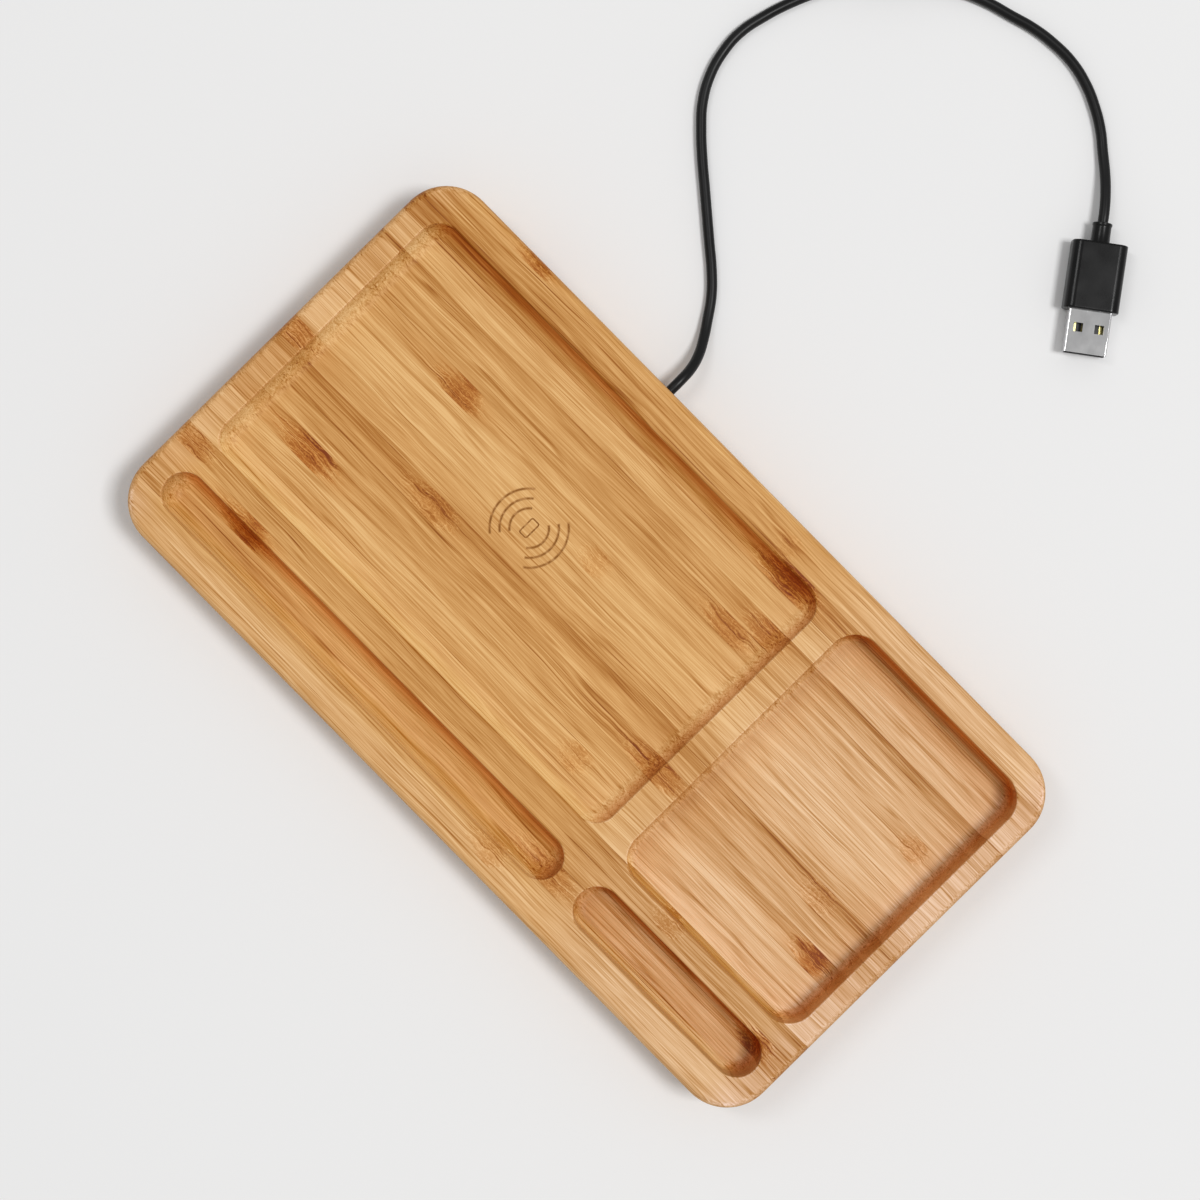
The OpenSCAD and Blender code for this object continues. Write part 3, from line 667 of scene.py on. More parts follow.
board = bmesh.new()
top_rim = set()
for name, edge in edges.items():
    known = set(board.edges)
    board.from_mesh(edge.data)
    rim = [e for e in board.edges if e not in known and e.is_boundary]
    high = {e for e in rim if e.verts[0].co.z > tray_top - 0.01 * MM}
    low = [e for e in rim if e not in high]
    top_rim |= high
    if name == "phone_recess":
        for outer, inner, closed in bands:
            outside, inside = sink_band(board, outer, inner, closed)
            low += outside if closed else outside | inside
            if closed:
                bmesh.ops.contextual_create(board, geom=list(inside))
        bmesh.ops.triangle_fill(board, edges=list(set(low)), use_beauty=True, normal=(0, 0, 1))
    else:
        bmesh.ops.contextual_create(board, geom=low)
bmesh.ops.triangle_fill(board, edges=list(top_rim), use_beauty=True, normal=(0, 0, 1))
bmesh.ops.recalc_face_normals(board, faces=board.faces)
board_mesh = bpy.data.meshes.new("tray_board")
board.to_mesh(board_mesh)
print("board:", len(board.faces), "faces, open edges:", sum(e.is_boundary for e in board.edges))
board.free()
for edge in edges.values():
    bpy.data.objects.remove(edge)

# %% [markdown]
# ## Milling from below
#
# From below the board has a seat for the cover, a bay for the circuit board with a deeper part
# for the coil, a channel for the cord and blind holes for screws and feet. None of it follows
# the sweeping rule, so here a boolean is the right tool: one cutter is gathered from plain
# prisms and taken away in one go, as a milling machine would do it.

# %% Milling from below
def loft(bm, rings, loop=False):
    """Joins rings of points by faces. The ends are filled, or the last ring meets the first."""
    rows = [[bm.verts.new(point) for point in ring] for ring in rings]
    count = len(rows[0])
    for low, high in zip(rows, rows[1:] + rows[:1] if loop else rows[1:]):
        for i in range(count):
            k = (i + 1) % count
            bm.faces.new((low[i], low[k], high[k], high[i]))
    if not loop:
        bm.faces.new(rows[0][::-1])
        bm.faces.new(rows[-1])


def prism(bm, outline, low, high, matrix=Matrix()):
    """Closed prism over a flat outline. A matrix may turn it."""
    loft(bm, [[matrix @ Vector((*p, z)) for p in outline] for z in (low, high)])


def disc(x, y, r, steps=32):
    circle = around(r * MM, 0, 360 * (steps - 1) / steps, steps - 1)
    return [Vector((x, y)) * MM + p for p in circle]


def smooth(mesh, sharpest):
    """Smooth shading, with a sharp edge where faces turn by more than those degrees."""
    for face in mesh.polygons:
        face.use_smooth = True
    mesh.set_sharp_from_angle(angle=math.radians(sharpest))


def in_channel(y):
    """Place in the cord's channel, with its Z axis along the channel from that many mm."""
    start = Matrix.Translation((CHARGER_X * MM, y * MM, CHANNEL_HIGH * MM))
    return start @ Matrix.Rotation(-QUARTER, 4, "X")


# How far the feet and screws are from the middle of what they hold, and the clamp's place, in mm
FOOT_X, FOOT_Y = 102, 47
COVER_SCREW_X, COVER_SCREW_Y = 37.5, 33.5
BOARD_SCREW_X, BOARD_SCREW_Y, BOARD_Y = 29, 19, 4.5
CLAMP_SCREW_X, CLAMP_Y = 6.2, 40.2
BELOW = 1.5               # mm, below the tray, so that no cutter ends in the plane of a face
bay = bmesh.new()
# Length, width, corner and height of the cover's seat, of the bay and of its deeper part, in mm
for x, y, r, top in ((84.6, 76.6, 6.3, 4), (68, 62, 3, 9.9), (52, 52, 4, 13.2)):
    outline = [CHARGE_AT + p for p in round_outline(x * MM, y * MM, r * MM)]
    prism(bay, outline, BELOW * MM, top * MM)
for sx in (-1, 1):
    for sy in (-1, 1):
        foot = disc(sx * FOOT_X, sy * FOOT_Y, 6.1, 48)
        cover = disc(CHARGER_X + sx * COVER_SCREW_X, CHARGER_Y + sy * COVER_SCREW_Y, 1.35)
        board = disc(CHARGER_X + sx * BOARD_SCREW_X, BOARD_Y + sy * BOARD_SCREW_Y, 1.1)
        for hole, low, high in ((foot, BELOW, 3), (cover, 3, 12), (board, 9, 13.3)):
            prism(bay, hole, low * MM, high * MM)
    prism(bay, disc(CHARGER_X + sx * CLAMP_SCREW_X, CLAMP_Y, 1.1), 9 * MM, 12.7 * MM)
# The cord's channel, and a wider mouth for the bushing
prism(bay, disc(0, 0, 1.6), 12 * MM, 61 * MM, in_channel(0))
prism(bay, disc(0, 0, 3.1, 48), 60 * MM, 66 * MM, in_channel(0))
cutter_mesh = bpy.data.meshes.new("milling_cutter")
bay.to_mesh(cutter_mesh)
bay.free()
cutter = add("milling_cutter", cutter_mesh)
tray = add("tray_board", board_mesh)
mill = tray.modifiers.new("mill", "BOOLEAN")
mill.operation = "DIFFERENCE"
mill.solver = "EXACT"
mill.use_self = True
mill.object = cutter
smooth(settle(tray), 30)
bpy.data.objects.remove(cutter)
check = bmesh.new()
check.from_mesh(tray.data)
print(
    "tray:", len(check.faces), "faces, open edges:", sum(not e.is_manifold for e in check.edges),
    "volume:", round(check.calc_volume() * 1e6, 1), "cm3")
check.free()
stand_for(tray, "bamboo", "tray")

# %% [markdown]
# ## Laminated bamboo
#
# The board is glued up from twenty bars of bamboo that stand side by side and run its whole
# length. Each bar was cut from another stalk, so each has its own tone, and most are denser and
# darker towards the stalk's skin. The glue line between two bars shows as a fine dark seam. A
# bar has long pale and dark streaks and thin dark lines, which are the stalk's fibre bundles
# cut at a slant. Where a bar includes one of the stalk's knuckles there is a red-brown patch
# that runs out into flames along the grain, with pale cracks in its middle.
#
# One material does it all in the wood's own space. A colour ramp without blending works as a
# lookup table over the board's width: it tells every point its bar's tone, redness and a number
# that shifts the noise, so that no two bars share a streak. Further ramps hold each bar's place
# and the knuckles.

# %% The bars and their knuckles
LONG, WIDE = 240, 130      # the board's length and width in mm
BAR_EDGES = (
    4, 11, 18, 25, 31, 37.5, 45, 51.5, 58, 65.5, 72, 79, 86, 92.5, 99, 105.5, 113, 120, 126)
BAR_STARTS = (0, *BAR_EDGES)
BAR_WIDTHS = [end - start for start, end in zip(BAR_STARTS, (*BAR_EDGES, WIDE))]
BAR_TONES = (
    0.74, 0.75, 0.61, 0.60, 0.57, 0.79, 0.77, 0.70, 0.63, 0.57,
    0.67, 0.80, 0.83, 0.73, 0.68, 0.61, 0.78, 0.50, 0.66, 0.70)
BAR_REDNESS = (
    0.1, 0.1, 0.3, 0.6, 0.4, 0.1, 0.1, 0.3, 0.4, 0.6,
    0.4, 0.1, 0.1, 0.2, 0.2, 0.3, 0.1, 0.6, 0.4, 0.3)
BAR_SLOPES = (             # change of tone from a bar's front edge to its rear edge
    0, -0.1, 0.1, 0.1, -0.15, -0.15, 0.05, -0.15, -0.15, -0.35,
    0.15, 0.05, 0, -0.1, -0.1, -0.35, -0.1, -0.2, 0.1, 0)
BAR_TRENDS = {3: -0.2, 4: -0.25, 17: 0.3, 18: 0.3}    # change from its left to its right end
# Bar: a knuckle's place from the left end in mm, its half length in mm and its darkness
KNUCKLES_A = {
    19: (38, 9, 0.7), 18: (140, 7, 0.25), 17: (148, 14, 1.0), 15: (153, 9, 0.7),
    14: (145, 12, 0.6), 13: (48, 10, 0.85), 12: (106, 7, 0.3), 10: (5, 11, 0.6),
    9: (65, 12, 0.45), 8: (159, 14, 0.65), 7: (31, 13, 1.0), 6: (140, 7, 0.35),
    4: (7, 10, 0.55), 3: (34, 12, 1.0), 2: (158, 14, 0.5), 1: (142, 8, 0.4)}
KNUCKLES_B = {
    13: (224, 6, 0.5), 9: (215, 9, 0.3), 7: (226, 9, 1.1), 4: (190, 7, 0.35), 3: (230, 7, 0.9)}

# Tone of the wood from its darkest to its palest
WOOD_TONES = [
    (0.0, (0.215, 0.048, 0.001)), (0.2, (0.36, 0.122, 0.011)), (0.4, (0.475, 0.206, 0.042)),
    (0.6, (0.595, 0.298, 0.088)), (0.8, (0.70, 0.386, 0.136)), (1.0, (0.81, 0.493, 0.201))]
print("bars:", len(BAR_STARTS), "of", min(BAR_WIDTHS), "to", max(BAR_WIDTHS), "mm")

# %% Bars looked up, and seams
bamboo = new_finish("bamboo", Specular_IOR_Level=0.18)
place = place_in_mm()
along, aside, above = split(place)
SEAM_HALF = 0.12          # mm
WIDEST_BAR = 10           # mm; a table's colours are shares of these largest values
LONGEST_KNUCKLE = 20
DARKEST_KNUCKLE = 2
GOLDEN = 0.618


def look_up(aside, table):
    """Three values of a bar from a table with one colour for each bar."""
    stops = [(start / WIDE, values) for start, values in zip(BAR_STARTS, table)]
    colour = ramp((aside + WIDE / 2) / WIDE, stops, "CONSTANT")
    return node("ShaderNodeSeparateColor", {"Color": colour})


bar_table = [
    (tone, red, (7 * i * GOLDEN) % 1)
    for i, (tone, red) in enumerate(zip(BAR_TONES, BAR_REDNESS))]
place_table = [
    (start / WIDE, width / WIDEST_BAR, slope + 0.5)
    for start, width, slope in zip(BAR_STARTS, BAR_WIDTHS, BAR_SLOPES)]
trend_table = [(BAR_TRENDS.get(bar, 0) + 0.5, 0, 0) for bar in range(len(BAR_STARTS))]
bar_tone, bar_red, bar_seed = look_up(aside, bar_table)
bar_start, bar_width, bar_slope = look_up(aside, place_table)
bar_trend = look_up(aside, trend_table)[0]
bar_share = (aside + WIDE / 2 - bar_start * WIDE) / (bar_width * WIDEST_BAR)

# Seams: where the lookup changes within a hair's breadth. They fade in and out
seed_left = look_up(aside - SEAM_HALF, bar_table)[2]
seed_right = look_up(aside + SEAM_HALF, bar_table)[2]
seam_fade = rise(noise(place, (40, 3, 3), detail=3), 0.35, 0.65, 0.1, 1.0)
seam = (abs(seed_left - seed_right) > 0.01) * seam_fade
print("bars and seams:", len(bamboo.node_tree.nodes), "nodes")

# %% Where the knuckles are
def off_knuckle(marks):
    """Distance from a bar's knuckle, 1 at the end of its patch, and the knuckle's darkness."""
    table = []
    for bar in range(len(BAR_STARTS)):
        x, half, dark = marks.get(bar, (0, 5, 0))
        table.append((x / LONG, half / LONGEST_KNUCKLE, dark / DARKEST_KNUCKLE))
    middle, half, dark = look_up(aside, table)
    off = (along + LONG / 2 - middle * LONG) / (half * LONGEST_KNUCKLE)
    # The patch fades slowly on its left, and ends soon after the knuckle's line on its right
    off = off * 0.25 + abs(off)
    # Shortest at the bar's edges, so that the patch is shaped like a lens
    edge = abs(bar_share - 0.55)
    return off * rise(edge, 0.2, 0.6, 1.0, 1.9), dark * DARKEST_KNUCKLE


places_of_knuckles = [off_knuckle(marks) for marks in (KNUCKLES_A, KNUCKLES_B)]
near_knuckle = calc("MAXIMUM", *(
    rise(off, 1.6, 0.1) * rise(dark, 0.0, 0.45) for off, dark in places_of_knuckles))
print("knuckles:", len(KNUCKLES_A) + len(KNUCKLES_B))

# %% [markdown]
# The grain is not quite straight: it sways a little along the stalk, and more round a knuckle.
# So the space that the fibres are drawn in is bent first, and every streak bends with it.
#
# Three kinds of detail are laid over each other. Stretched noise gives the soft streaks. A thin
# line where a noise passes a level gives lines that sway and fork. And stretched cells give
# needles: the plane of a cut meets each long cell in a mark that is crisp along its sides and
# tapers to both ends, just as it meets a bundle of fibres.

# %% Streaks, lines and needles
def ridge(share, level, half):
    """Thin line where a noise passes a level."""
    return rise(abs(share - level), half, 0.0)


def needles(place, grain, core, soft):
    """Tapered marks, at most twice that core wide, in cells of that many mm."""
    found = cells(place, grain)
    return rise(found["Distance"], core + soft, core - soft), found["Color"]


# Each bar has a place of its own in the noise, far from its neighbour's
straight_place = place + join(X=bar_seed * 900, Y=bar_seed * 70, Z=bar_seed * 40)
sway = (noise(straight_place, (38, 9, 9), detail=1) - 0.5) * 2.2
curl = (noise(straight_place, (6, 2.5, 2.5), detail=1) - 0.5) * 2.4
fibre_place = straight_place + join(Y=curl * near_knuckle + sway)

drift = noise(fibre_place, (70, 7, 7), detail=2)
broad = noise(fibre_place, (120, 1.5, 1.5), detail=3, roughness=0.6)
coarse = noise(fibre_place, (45, 0.8, 0.8), detail=2, roughness=0.6)
fine = noise(fibre_place, (16, 0.3, 0.3), detail=2, roughness=0.65)
wavy = noise(fibre_place, (90, 2.2, 2.2), detail=1, roughness=0.45)
shown = rise(noise(fibre_place, (40, 3.5, 3.5), detail=2), 0.44, 0.58)
dark_lines = ridge(wavy, 0.5, 0.045) * shown
pale_lines = ridge(wavy, 0.555, 0.045) * shown
long_needles, cell_tones = needles(fibre_place, (110, 1.2, 1.2), 0.19, 0.07)
short_needles, _ = needles(fibre_place, (45, 0.65, 0.65), 0.24, 0.1)
pale_needles, _ = needles(fibre_place + (31, 17, 13), (90, 0.9, 0.9), 0.22, 0.1)
strand_tone = node("ShaderNodeSeparateColor", {"Color": cell_tones})[0]
print("with streaks:", len(bamboo.node_tree.nodes), "nodes")

# %% Knuckles
def knuckle(off, dark):
    """Darkness of a knuckle: a core that runs out into flames, in a faint halo."""
    flames = noise(fibre_place, (14, 0.45, 0.45), detail=4, roughness=0.7)
    inside = (flames - 0.5) * 2.2 + 0.95 - off
    halo = rise(off, 2.6, 0.3)
    return (halo * 0.24 + rise(inside, 0.0, 0.9)) * dark


knuckles = calc("MAXIMUM", *(knuckle(off, dark) for off, dark in places_of_knuckles))
crazed = noise(fibre_place, (2.2, 0.8, 0.8), detail=2, roughness=0.6)
cracks = ridge(crazed, 0.5, 0.05) * rise(near_knuckle, 0.3, 0.75)
knuckles *= rise(noise(fibre_place, (4.0, 0.5, 0.5), detail=4), 0.3, 0.6, 0.72, 1.0)
print("with knuckles:", len(bamboo.node_tree.nodes), "nodes")

# %% [markdown]
# Where the router cuts across the grain the fibres are met end on. Those faces look slightly
# darker and carry fine dark dots, one for each bundle. They are found by their direction: only
# a face that looks along the board shows its end grain.

# %% End grain and colour
facing_x, facing_y, facing_z = split(node("ShaderNodeTexCoord")["Normal"])
end_grain = rise(abs(facing_x), 0.35, 0.9)
dots = rise(cells(fibre_place, (5, 0.6, 0.6))["Distance"], 0.36, 0.12) * end_grain

tone = bar_tone + (bar_share - 0.5) * (bar_slope - 0.5)
tone += (bar_trend - 0.5) * (along / LONG)
for share, amount in (
        (drift, 0.26), (broad, 0.54), (coarse, 0.36), (fine, 1.10), (strand_tone, 0.10)):
    tone += (share - 0.5) * amount
for share, amount in (
        (dark_lines, -0.23), (pale_lines, 0.14), (long_needles, -0.22), (short_needles, -0.20),
        (pale_needles, 0.12), (seam, -0.26), (knuckles, -0.46), (cracks, 0.26),
        (end_grain, -0.06), (dots, -0.22)):
    tone += share * amount
wood = ramp(tone, WOOD_TONES)


def tint(wood, share, factors):
    """Multiplies the wood's red, green and blue where the share is 1."""
    return mix(share, wood, mix(1.0, wood, (*factors, 1), "MULTIPLY"))


wood = tint(wood, knuckles * 0.7 + bar_red * 0.18, (1.0, 0.74, 0.42))
wood = mix(end_grain * 0.25, wood, (0.42, 0.19, 0.06, 1))

# On upward faces the wood is made paler: towards the board's right end as painted light, where
# more light falls, and also along its front and outer ends.
level = rise(facing_z, 0.3, 0.9)
lit_end_and_pale_front = calc("MAXIMUM", rise(along, 20, 75), rise(aside, -54, -60, 0, 0.4))
wood = tint(wood, lit_end_and_pale_front * level, (1.07, 1.19, 1.72))
wood = tint(wood, rise(abs(along), 106, 116) * level, (1.02, 1.05, 1.25))

# Painted light and shade on the pockets' walls, by the way each faces the soft box: the rear
# walls are made darker and redder as painted shade, most of all low down in the deep pockets,
# the right walls redder and their coves darker, and the front walls and the upper left ones paler
# as painted light.
inside = rise(above, 19.8, 19.0) * (calc("MAXIMUM", abs(along), abs(aside) + 57) < 115)
for direction, turned, heights, factors in (
        (facing_y, (-0.25, -0.9), (25, 24), (1.0, 0.68, 0.44)),        # rear walls
        (facing_y, (-0.15, -0.6), (15, 13), (0.95, 0.75, 0.50)),       # and their lower parts
        (facing_x, (-0.25, -0.9), (25, 24), (1.12, 0.97, 0.95)),       # right walls
        (facing_x, (-0.1, -0.4), (12, 10), (0.93, 0.72, 0.50)),        # and their coves
        (facing_y, (0.25, 0.9), (25, 24), (1.16, 1.27, 1.35)),         # front walls
        (facing_y, (0.25, 0.9), (15.5, 14.5), (1.10, 1.18, 1.22)),     # and their lower parts
        (facing_x, (0.25, 0.9), (14, 15.5), (1.15, 1.30, 1.48))):      # left walls near the mouth
    share = rise(direction, *turned) * rise(above, *heights)
    wood = tint(wood, share * inside, factors)

# The rounded mouths are made pale where they cross the grain: partly the wear of sanding,
# partly a painted highlight along the rounded edge.
wear_and_highlight = rise(abs(facing_x), 0.12, 0.45) * rise(above, 19.2, 19.45) * (abs(along) < 117)
wood = tint(wood, wear_and_highlight, (1.16, 1.24, 1.5))
print("with colours:", len(bamboo.node_tree.nodes), "nodes")

# %% [markdown]
# The laser's char sits in the grooves of the mark, and it scorches a narrow strip on either
# side of them. The strips are found by their distance from the mark's middle, and the grooves by
# their depth below the floor. A laser bites unevenly into hard and soft fibre, so the char comes
# and goes.

# %% Char, gloss and relief
MARK_STEP = ARC_RADII[1] - ARC_RADII[0]
from_mark = (place - (CHARGE_AT.x / MM, CHARGE_AT.y / MM, 0)) * (1, 1, 0)
mark_r = calc("LENGTH", from_mark)
mark_x = abs(split(from_mark)["X"])
on_mark = (mark_r < 12) * rise(above, 16.3, 16.2) * (above > 15.5)
groove = on_mark * rise(above, 15.99, 15.9)
off_arc = calc("PINGPONG", mark_r - ARC_RADII[0], MARK_STEP / 2)
in_fan = mark_x / mark_r > math.cos(math.radians(ARC_HALF + 2))
in_fan *= mark_r > ARC_RADII[0] - 1
scorched = rise(off_arc, 0.6, 0.15) * in_fan * on_mark
bite = rise(noise(place, (3, 1.2, 3), detail=4), 0.3, 0.62, 0.35, 1.0)
char = calc("MAXIMUM", groove, scorched * 0.8) * bite
wood = mix(char, wood, (0.34, 0.135, 0.026, 1))
surface(Base_Color=wood, Roughness=0.47 + (fine - 0.5) * 0.22 + char * 0.3)
relief = coarse * 0.4 + fine * 0.6
for share, amount in ((seam, -0.5), (dark_lines, -0.35), (long_needles, -0.3), (dots, -0.3)):
    relief += share * amount
bump(relief, 0.05, 0.6)
tray.data.materials.clear()
tray.data.materials.append(bamboo)
print("bamboo:", len(bamboo.node_tree.nodes), "nodes")

# %% [markdown]
# ## Lofted pieces
#
# A moulded piece is often a row of outlines of the same kind, joined by faces: a grip, a
# sleeve, a foot, a bushing. One helper makes all of them. The outlines of boxy pieces get a
# narrow margin beside each rounded corner, for the same reason as the tray's edges do.

# %% Helpers for lofted pieces
def boxy(x, y, r):
    return round_outline(x * MM, y * MM, r * MM, margin=0.15 * MM)


def lofted(name, finish, matrix, outlines, loop=False):
    """Piece through flat outlines, each at a height in mm along the Z axis of a matrix."""
    bm = bmesh.new()
    rings = [[matrix @ Vector((*p, height * MM)) for p in line] for height, line in outlines]
    loft(bm, rings, loop)
    bmesh.ops.remove_doubles(bm, verts=bm.verts, dist=0.0005 * MM)
    bmesh.ops.recalc_face_normals(bm, faces=bm.faces)
    mesh = bpy.data.meshes.new(name)
    bm.to_mesh(mesh)
    open_edges = sum(not edge.is_manifold for edge in bm.edges)
    print(name + ":", len(bm.faces), "faces, open edges:", open_edges)
    bm.free()
    smooth(mesh, 35)
    mesh.materials.append(finish)
    return add(name, mesh)


def turned(name, finish, matrix, profile, steps=40, loop=True):
    """Lofted piece through circles of these heights and radii in mm."""
    outlines = [(height, disc(0, 0, r, steps)) for height, r in profile]
    return lofted(name, finish, matrix, outlines, loop)


# %% [markdown]
# ## The plug
#
# The grip is moulded over the shell and the cord in one shot of black plastic. Its ends are cut
# nearly square and its long edges are well rounded, so that a soft line of light runs along
# them. It is lofted from round-cornered outlines: two tiny steps at each end break the edge,
# and the last outlines turn inwards and make the mouth for the shell. The sleeve behind it is a
# plain stub with a small lip, where the mould closed round the cord.

# %% Plug's grip and sleeve
SLEEVE_LONG, GRIP_LONG, SHELL_IN = 5.7, 19, 6          # mm
GRIP_WIDE, GRIP_HIGH, GRIP_EDGE = 15.4, 8, 2.6
MOUTH_WIDE, MOUTH_HIGH, MOUTH_EDGE = 12.1, 4.6, 0.5
z_to_x = Matrix(((0, 0, 1, 0), (1, 0, 0, 0), (0, 1, 0, 0), (0, 0, 0, 1)))
along_plug = Matrix.Translation(plug_at) @ Matrix.Rotation(PLUG_ANGLE, 4, "Z") @ z_to_x

moulded = new_finish("moulded_plastic", Specular_IOR_Level=0.2)
place = place_in_mm()
flow = noise(place, 9, detail=3)
surface(
    Base_Color=ramp(flow, [(0.3, (0.0045, 0.0045, 0.0047)), (0.75, (0.0080, 0.0080, 0.0082))]),
    Roughness=rise(flow, 0.25, 0.8, 0.18, 0.25))
bump(noise(place, 0.22, detail=3, roughness=0.6), 0.003, 0.6)

outlines = []
for along, less in (       # distance along the grip, and how much less wide it is on each side
        (0, 0.3), (0.08, 0.1), (0.3, 0), (0.6, 0), (18.4, 0), (18.7, 0), (18.92, 0.1), (19, 0.3)):
    outline = boxy(GRIP_WIDE - 2 * less, GRIP_HIGH - 2 * less, GRIP_EDGE - less)
    outlines.append((SLEEVE_LONG + along, outline))
mouth = boxy(MOUTH_WIDE, MOUTH_HIGH, MOUTH_EDGE)
grip_front = SLEEVE_LONG + GRIP_LONG
outlines += [(grip_front, mouth), (grip_front - SHELL_IN, mouth)]
grip = lofted("plug_grip_moulded", moulded, along_plug, outlines)
stand_for(grip, "plug_plastic", "plug_grip")

SLEEVE_PROFILE = (
    (0, 1.55), (0, 2.55), (0.15, 2.75), (0.7, 2.75), (0.9, 2.6), (1.2, 2.58), (3.5, 2.62),
    (5.2, 2.68), (SLEEVE_LONG, 2.75), (SLEEVE_LONG, 1.55))
sleeve = turned("plug_sleeve_moulded", moulded, along_plug, SLEEVE_PROFILE)
stand_for(sleeve, "plug_plastic", "plug_sleeve")

# %% [markdown]
# ## The rubber bushing, the feet and the strap
#
# The bushing and the feet are turned shapes, so each is a loft of circles. The feet keep the
# marks of their mould: a shallow ring and a fine pebbled skin that grips the desk. The strap
# round the spare cord is a strip of hook-and-loop webbing. It is lofted between two outlines,
# round the path that two layers of cord give it.

# %% Rubber
rubber = new_finish("rubber", Specular_IOR_Level=0.3)
place = place_in_mm()
dusty = noise(place, 5, detail=5)
surface(
    Base_Color=ramp(dusty, [(0.35, (0.018, 0.018, 0.018)), (0.75, (0.034, 0.033, 0.031))]),
    Roughness=rise(dusty, 0.3, 0.8, 0.62, 0.8))
bump(cells(place, 0.45)["Distance"], 0.05, 0.5)

FOOT_PROFILE = (
    (0.35, 1.2), (0.35, 2.6), (0, 3.1), (0, 5.2), (0.12, 5.6), (0.4, 5.88), (0.8, 6), (3, 6))
for name in ("foot_front_left", "foot_front_right", "foot_rear_left", "foot_rear_right"):
    low, high = (Vector(corner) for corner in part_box(name))
    middle = (low + high) / 2
    foot = turned(
        name + "_rubber", rubber, Matrix.Translation((middle.x, middle.y, 0)), FOOT_PROFILE,
        steps=48, loop=False)
    stand_for(foot, "foot_rubber", name)

BUSHING_PROFILE = (
    (0, 1.6), (0, 3), (4.7, 3), (4.85, 2.95), (5, 2.75), (5, 2.1), (4.9, 1.9), (4.6, 1.7),
    (4, 1.6))
bushing = turned("bushing_rubber", rubber, in_channel(60), BUSHING_PROFILE)
stand_for(bushing, "foot_rubber", "cord_bushing")

# %% Strap
def place_from(middle, angle):
    """Place in mm from a middle, with the X axis turned by that angle."""
    return node(
        "ShaderNodeVectorRotate", {"Vector": place_in_mm() - middle, "Angle": -angle},
        rotation_type="Z_AXIS")[0]


TIE_ANGLE = math.radians(60)
RIB_WIDE, RIB_LONG = 0.45, 0.5          # mm
webbing = new_finish("webbing", Specular_IOR_Level=0.2, Sheen_Weight=0.35, Roughness=0.85)
ribs_x, ribs_y, ribs_z = split(place_from((COIL_X, COIL_Y, 0), TIE_ANGLE))
warp = calc("SINE", ribs_y * (2 * math.pi / RIB_WIDE))
weft = calc("SINE", (ribs_x + ribs_z) * (2 * math.pi / RIB_LONG))
weave = warp * weft * 0.5 + 0.5
woven = noise(place_in_mm(), 0.4, detail=4) * 0.5 + weave * 0.5
surface(Base_Color=ramp(woven, [(0.2, (0.010, 0.010, 0.011)), (0.8, (0.045, 0.045, 0.047))]))
bump(woven, 0.12, 0.8)

# The strap goes round the middle of the turns, halfway up the two layers
turns_middle = COIL_R - CORD_D * COIL_TURNS / 2
layers_middle = COIL_LOW + CORD_D / 2
tie_place = (
    Matrix.Translation(COIL_CENTRE) @ Matrix.Rotation(TIE_ANGLE, 4, "Z")
    @ Matrix.Translation((turns_middle, 0, layers_middle)) @ Matrix.Rotation(QUARTER, 4, "X"))
STRAP_THICK = 0.6
inner = boxy(14.3, 6.2, 1.5)
outer = boxy(14.3 + 2 * STRAP_THICK, 6.2 + 2 * STRAP_THICK, 1.5 + STRAP_THICK)
strap = lofted("cord_strap", webbing, tie_place, (
    (2.3, inner), (-2.3, inner), (-2.5, inner), (-2.5, outer), (-2.3, outer), (2.3, outer),
    (2.5, outer), (2.5, inner)), loop=True)
stand_for(strap, "tie_fabric", "cord_tie")

# %% [markdown]
# The cord, its plug and its strap are one thing, so now that all of them exist the cord's
# length is printed.

# %% The cord's facts
print("cord declared:", round(cord_length, 2), "m long")

# %% [markdown]
# ## Screws
#
# Ten screws hold the cover, the circuit board and the cord's clamp. A screw is a clear rule: a
# shank whose skin rises and falls as it winds up, a tapered tip, a head and a cross cut into
# the head. The tree shapes one screw and sets a copy on every point that it is given, so that
# one recipe serves all three sizes. The threads are a saw-tooth wave of height plus turn.

# %% Tree for screws
screw_tree, given = new_tree(
    "screw", shank=0.001, length=0.005, head=0.0019, head_height=0.0012, head_above=0.0,
    neck=0.0019, pitch=0.0006, drive_width=0.0006, drive_depth=0.0006)
THREAD_ROWS = 8           # rows of faces in each turn of the thread

turns = given["length"] / given["pitch"]
shank_rows = calc("ROUND", turns * THREAD_ROWS)
shank = node("GeometryNodeMeshCylinder", {
    "Vertices": 24, "Side Segments": shank_rows, "Radius": 1.0, "Depth": 1.0})["Mesh"]
at_x, at_y, at_z = split(node("GeometryNodeInputPosition")[0])
share_up = at_z + 0.5
winding = calc("ARCTAN2", at_y, at_x) / (2 * math.pi)
wave = calc("FRACT", share_up * turns - winding)
tooth = abs(wave * 2.0 - 1.0)
taper = node("ShaderNodeMapRange", {
    "Value": (1.0 - share_up) * given["length"], "From Min": 0.0, "From Max": given["shank"],
    "To Min": 0.25, "To Max": 1.0})[0]
skin = taper * (tooth * 0.2 + 0.8) * given["shank"]
threaded = node("GeometryNodeSetPosition", {
    "Geometry": shank,
    "Position": join(X=at_x * skin, Y=at_y * skin, Z=share_up * given["length"])})[0]
head = node("GeometryNodeMeshCone", {
    "Vertices": 32, "Radius Top": given["neck"], "Radius Bottom": given["head"],
    "Depth": given["head_height"]})["Mesh"]
to_head = join(Z=given["head_above"] - given["head_height"])
head = node("GeometryNodeTransform", {"Geometry": head, "Translation": to_head})[0]
bar = node("GeometryNodeMeshCube", {"Size": join(
    X=given["head"] * 1.2, Y=given["drive_width"], Z=given["drive_depth"] * 2.0)})["Mesh"]
bar = node("GeometryNodeTransform", {"Geometry": bar, "Translation": to_head})[0]
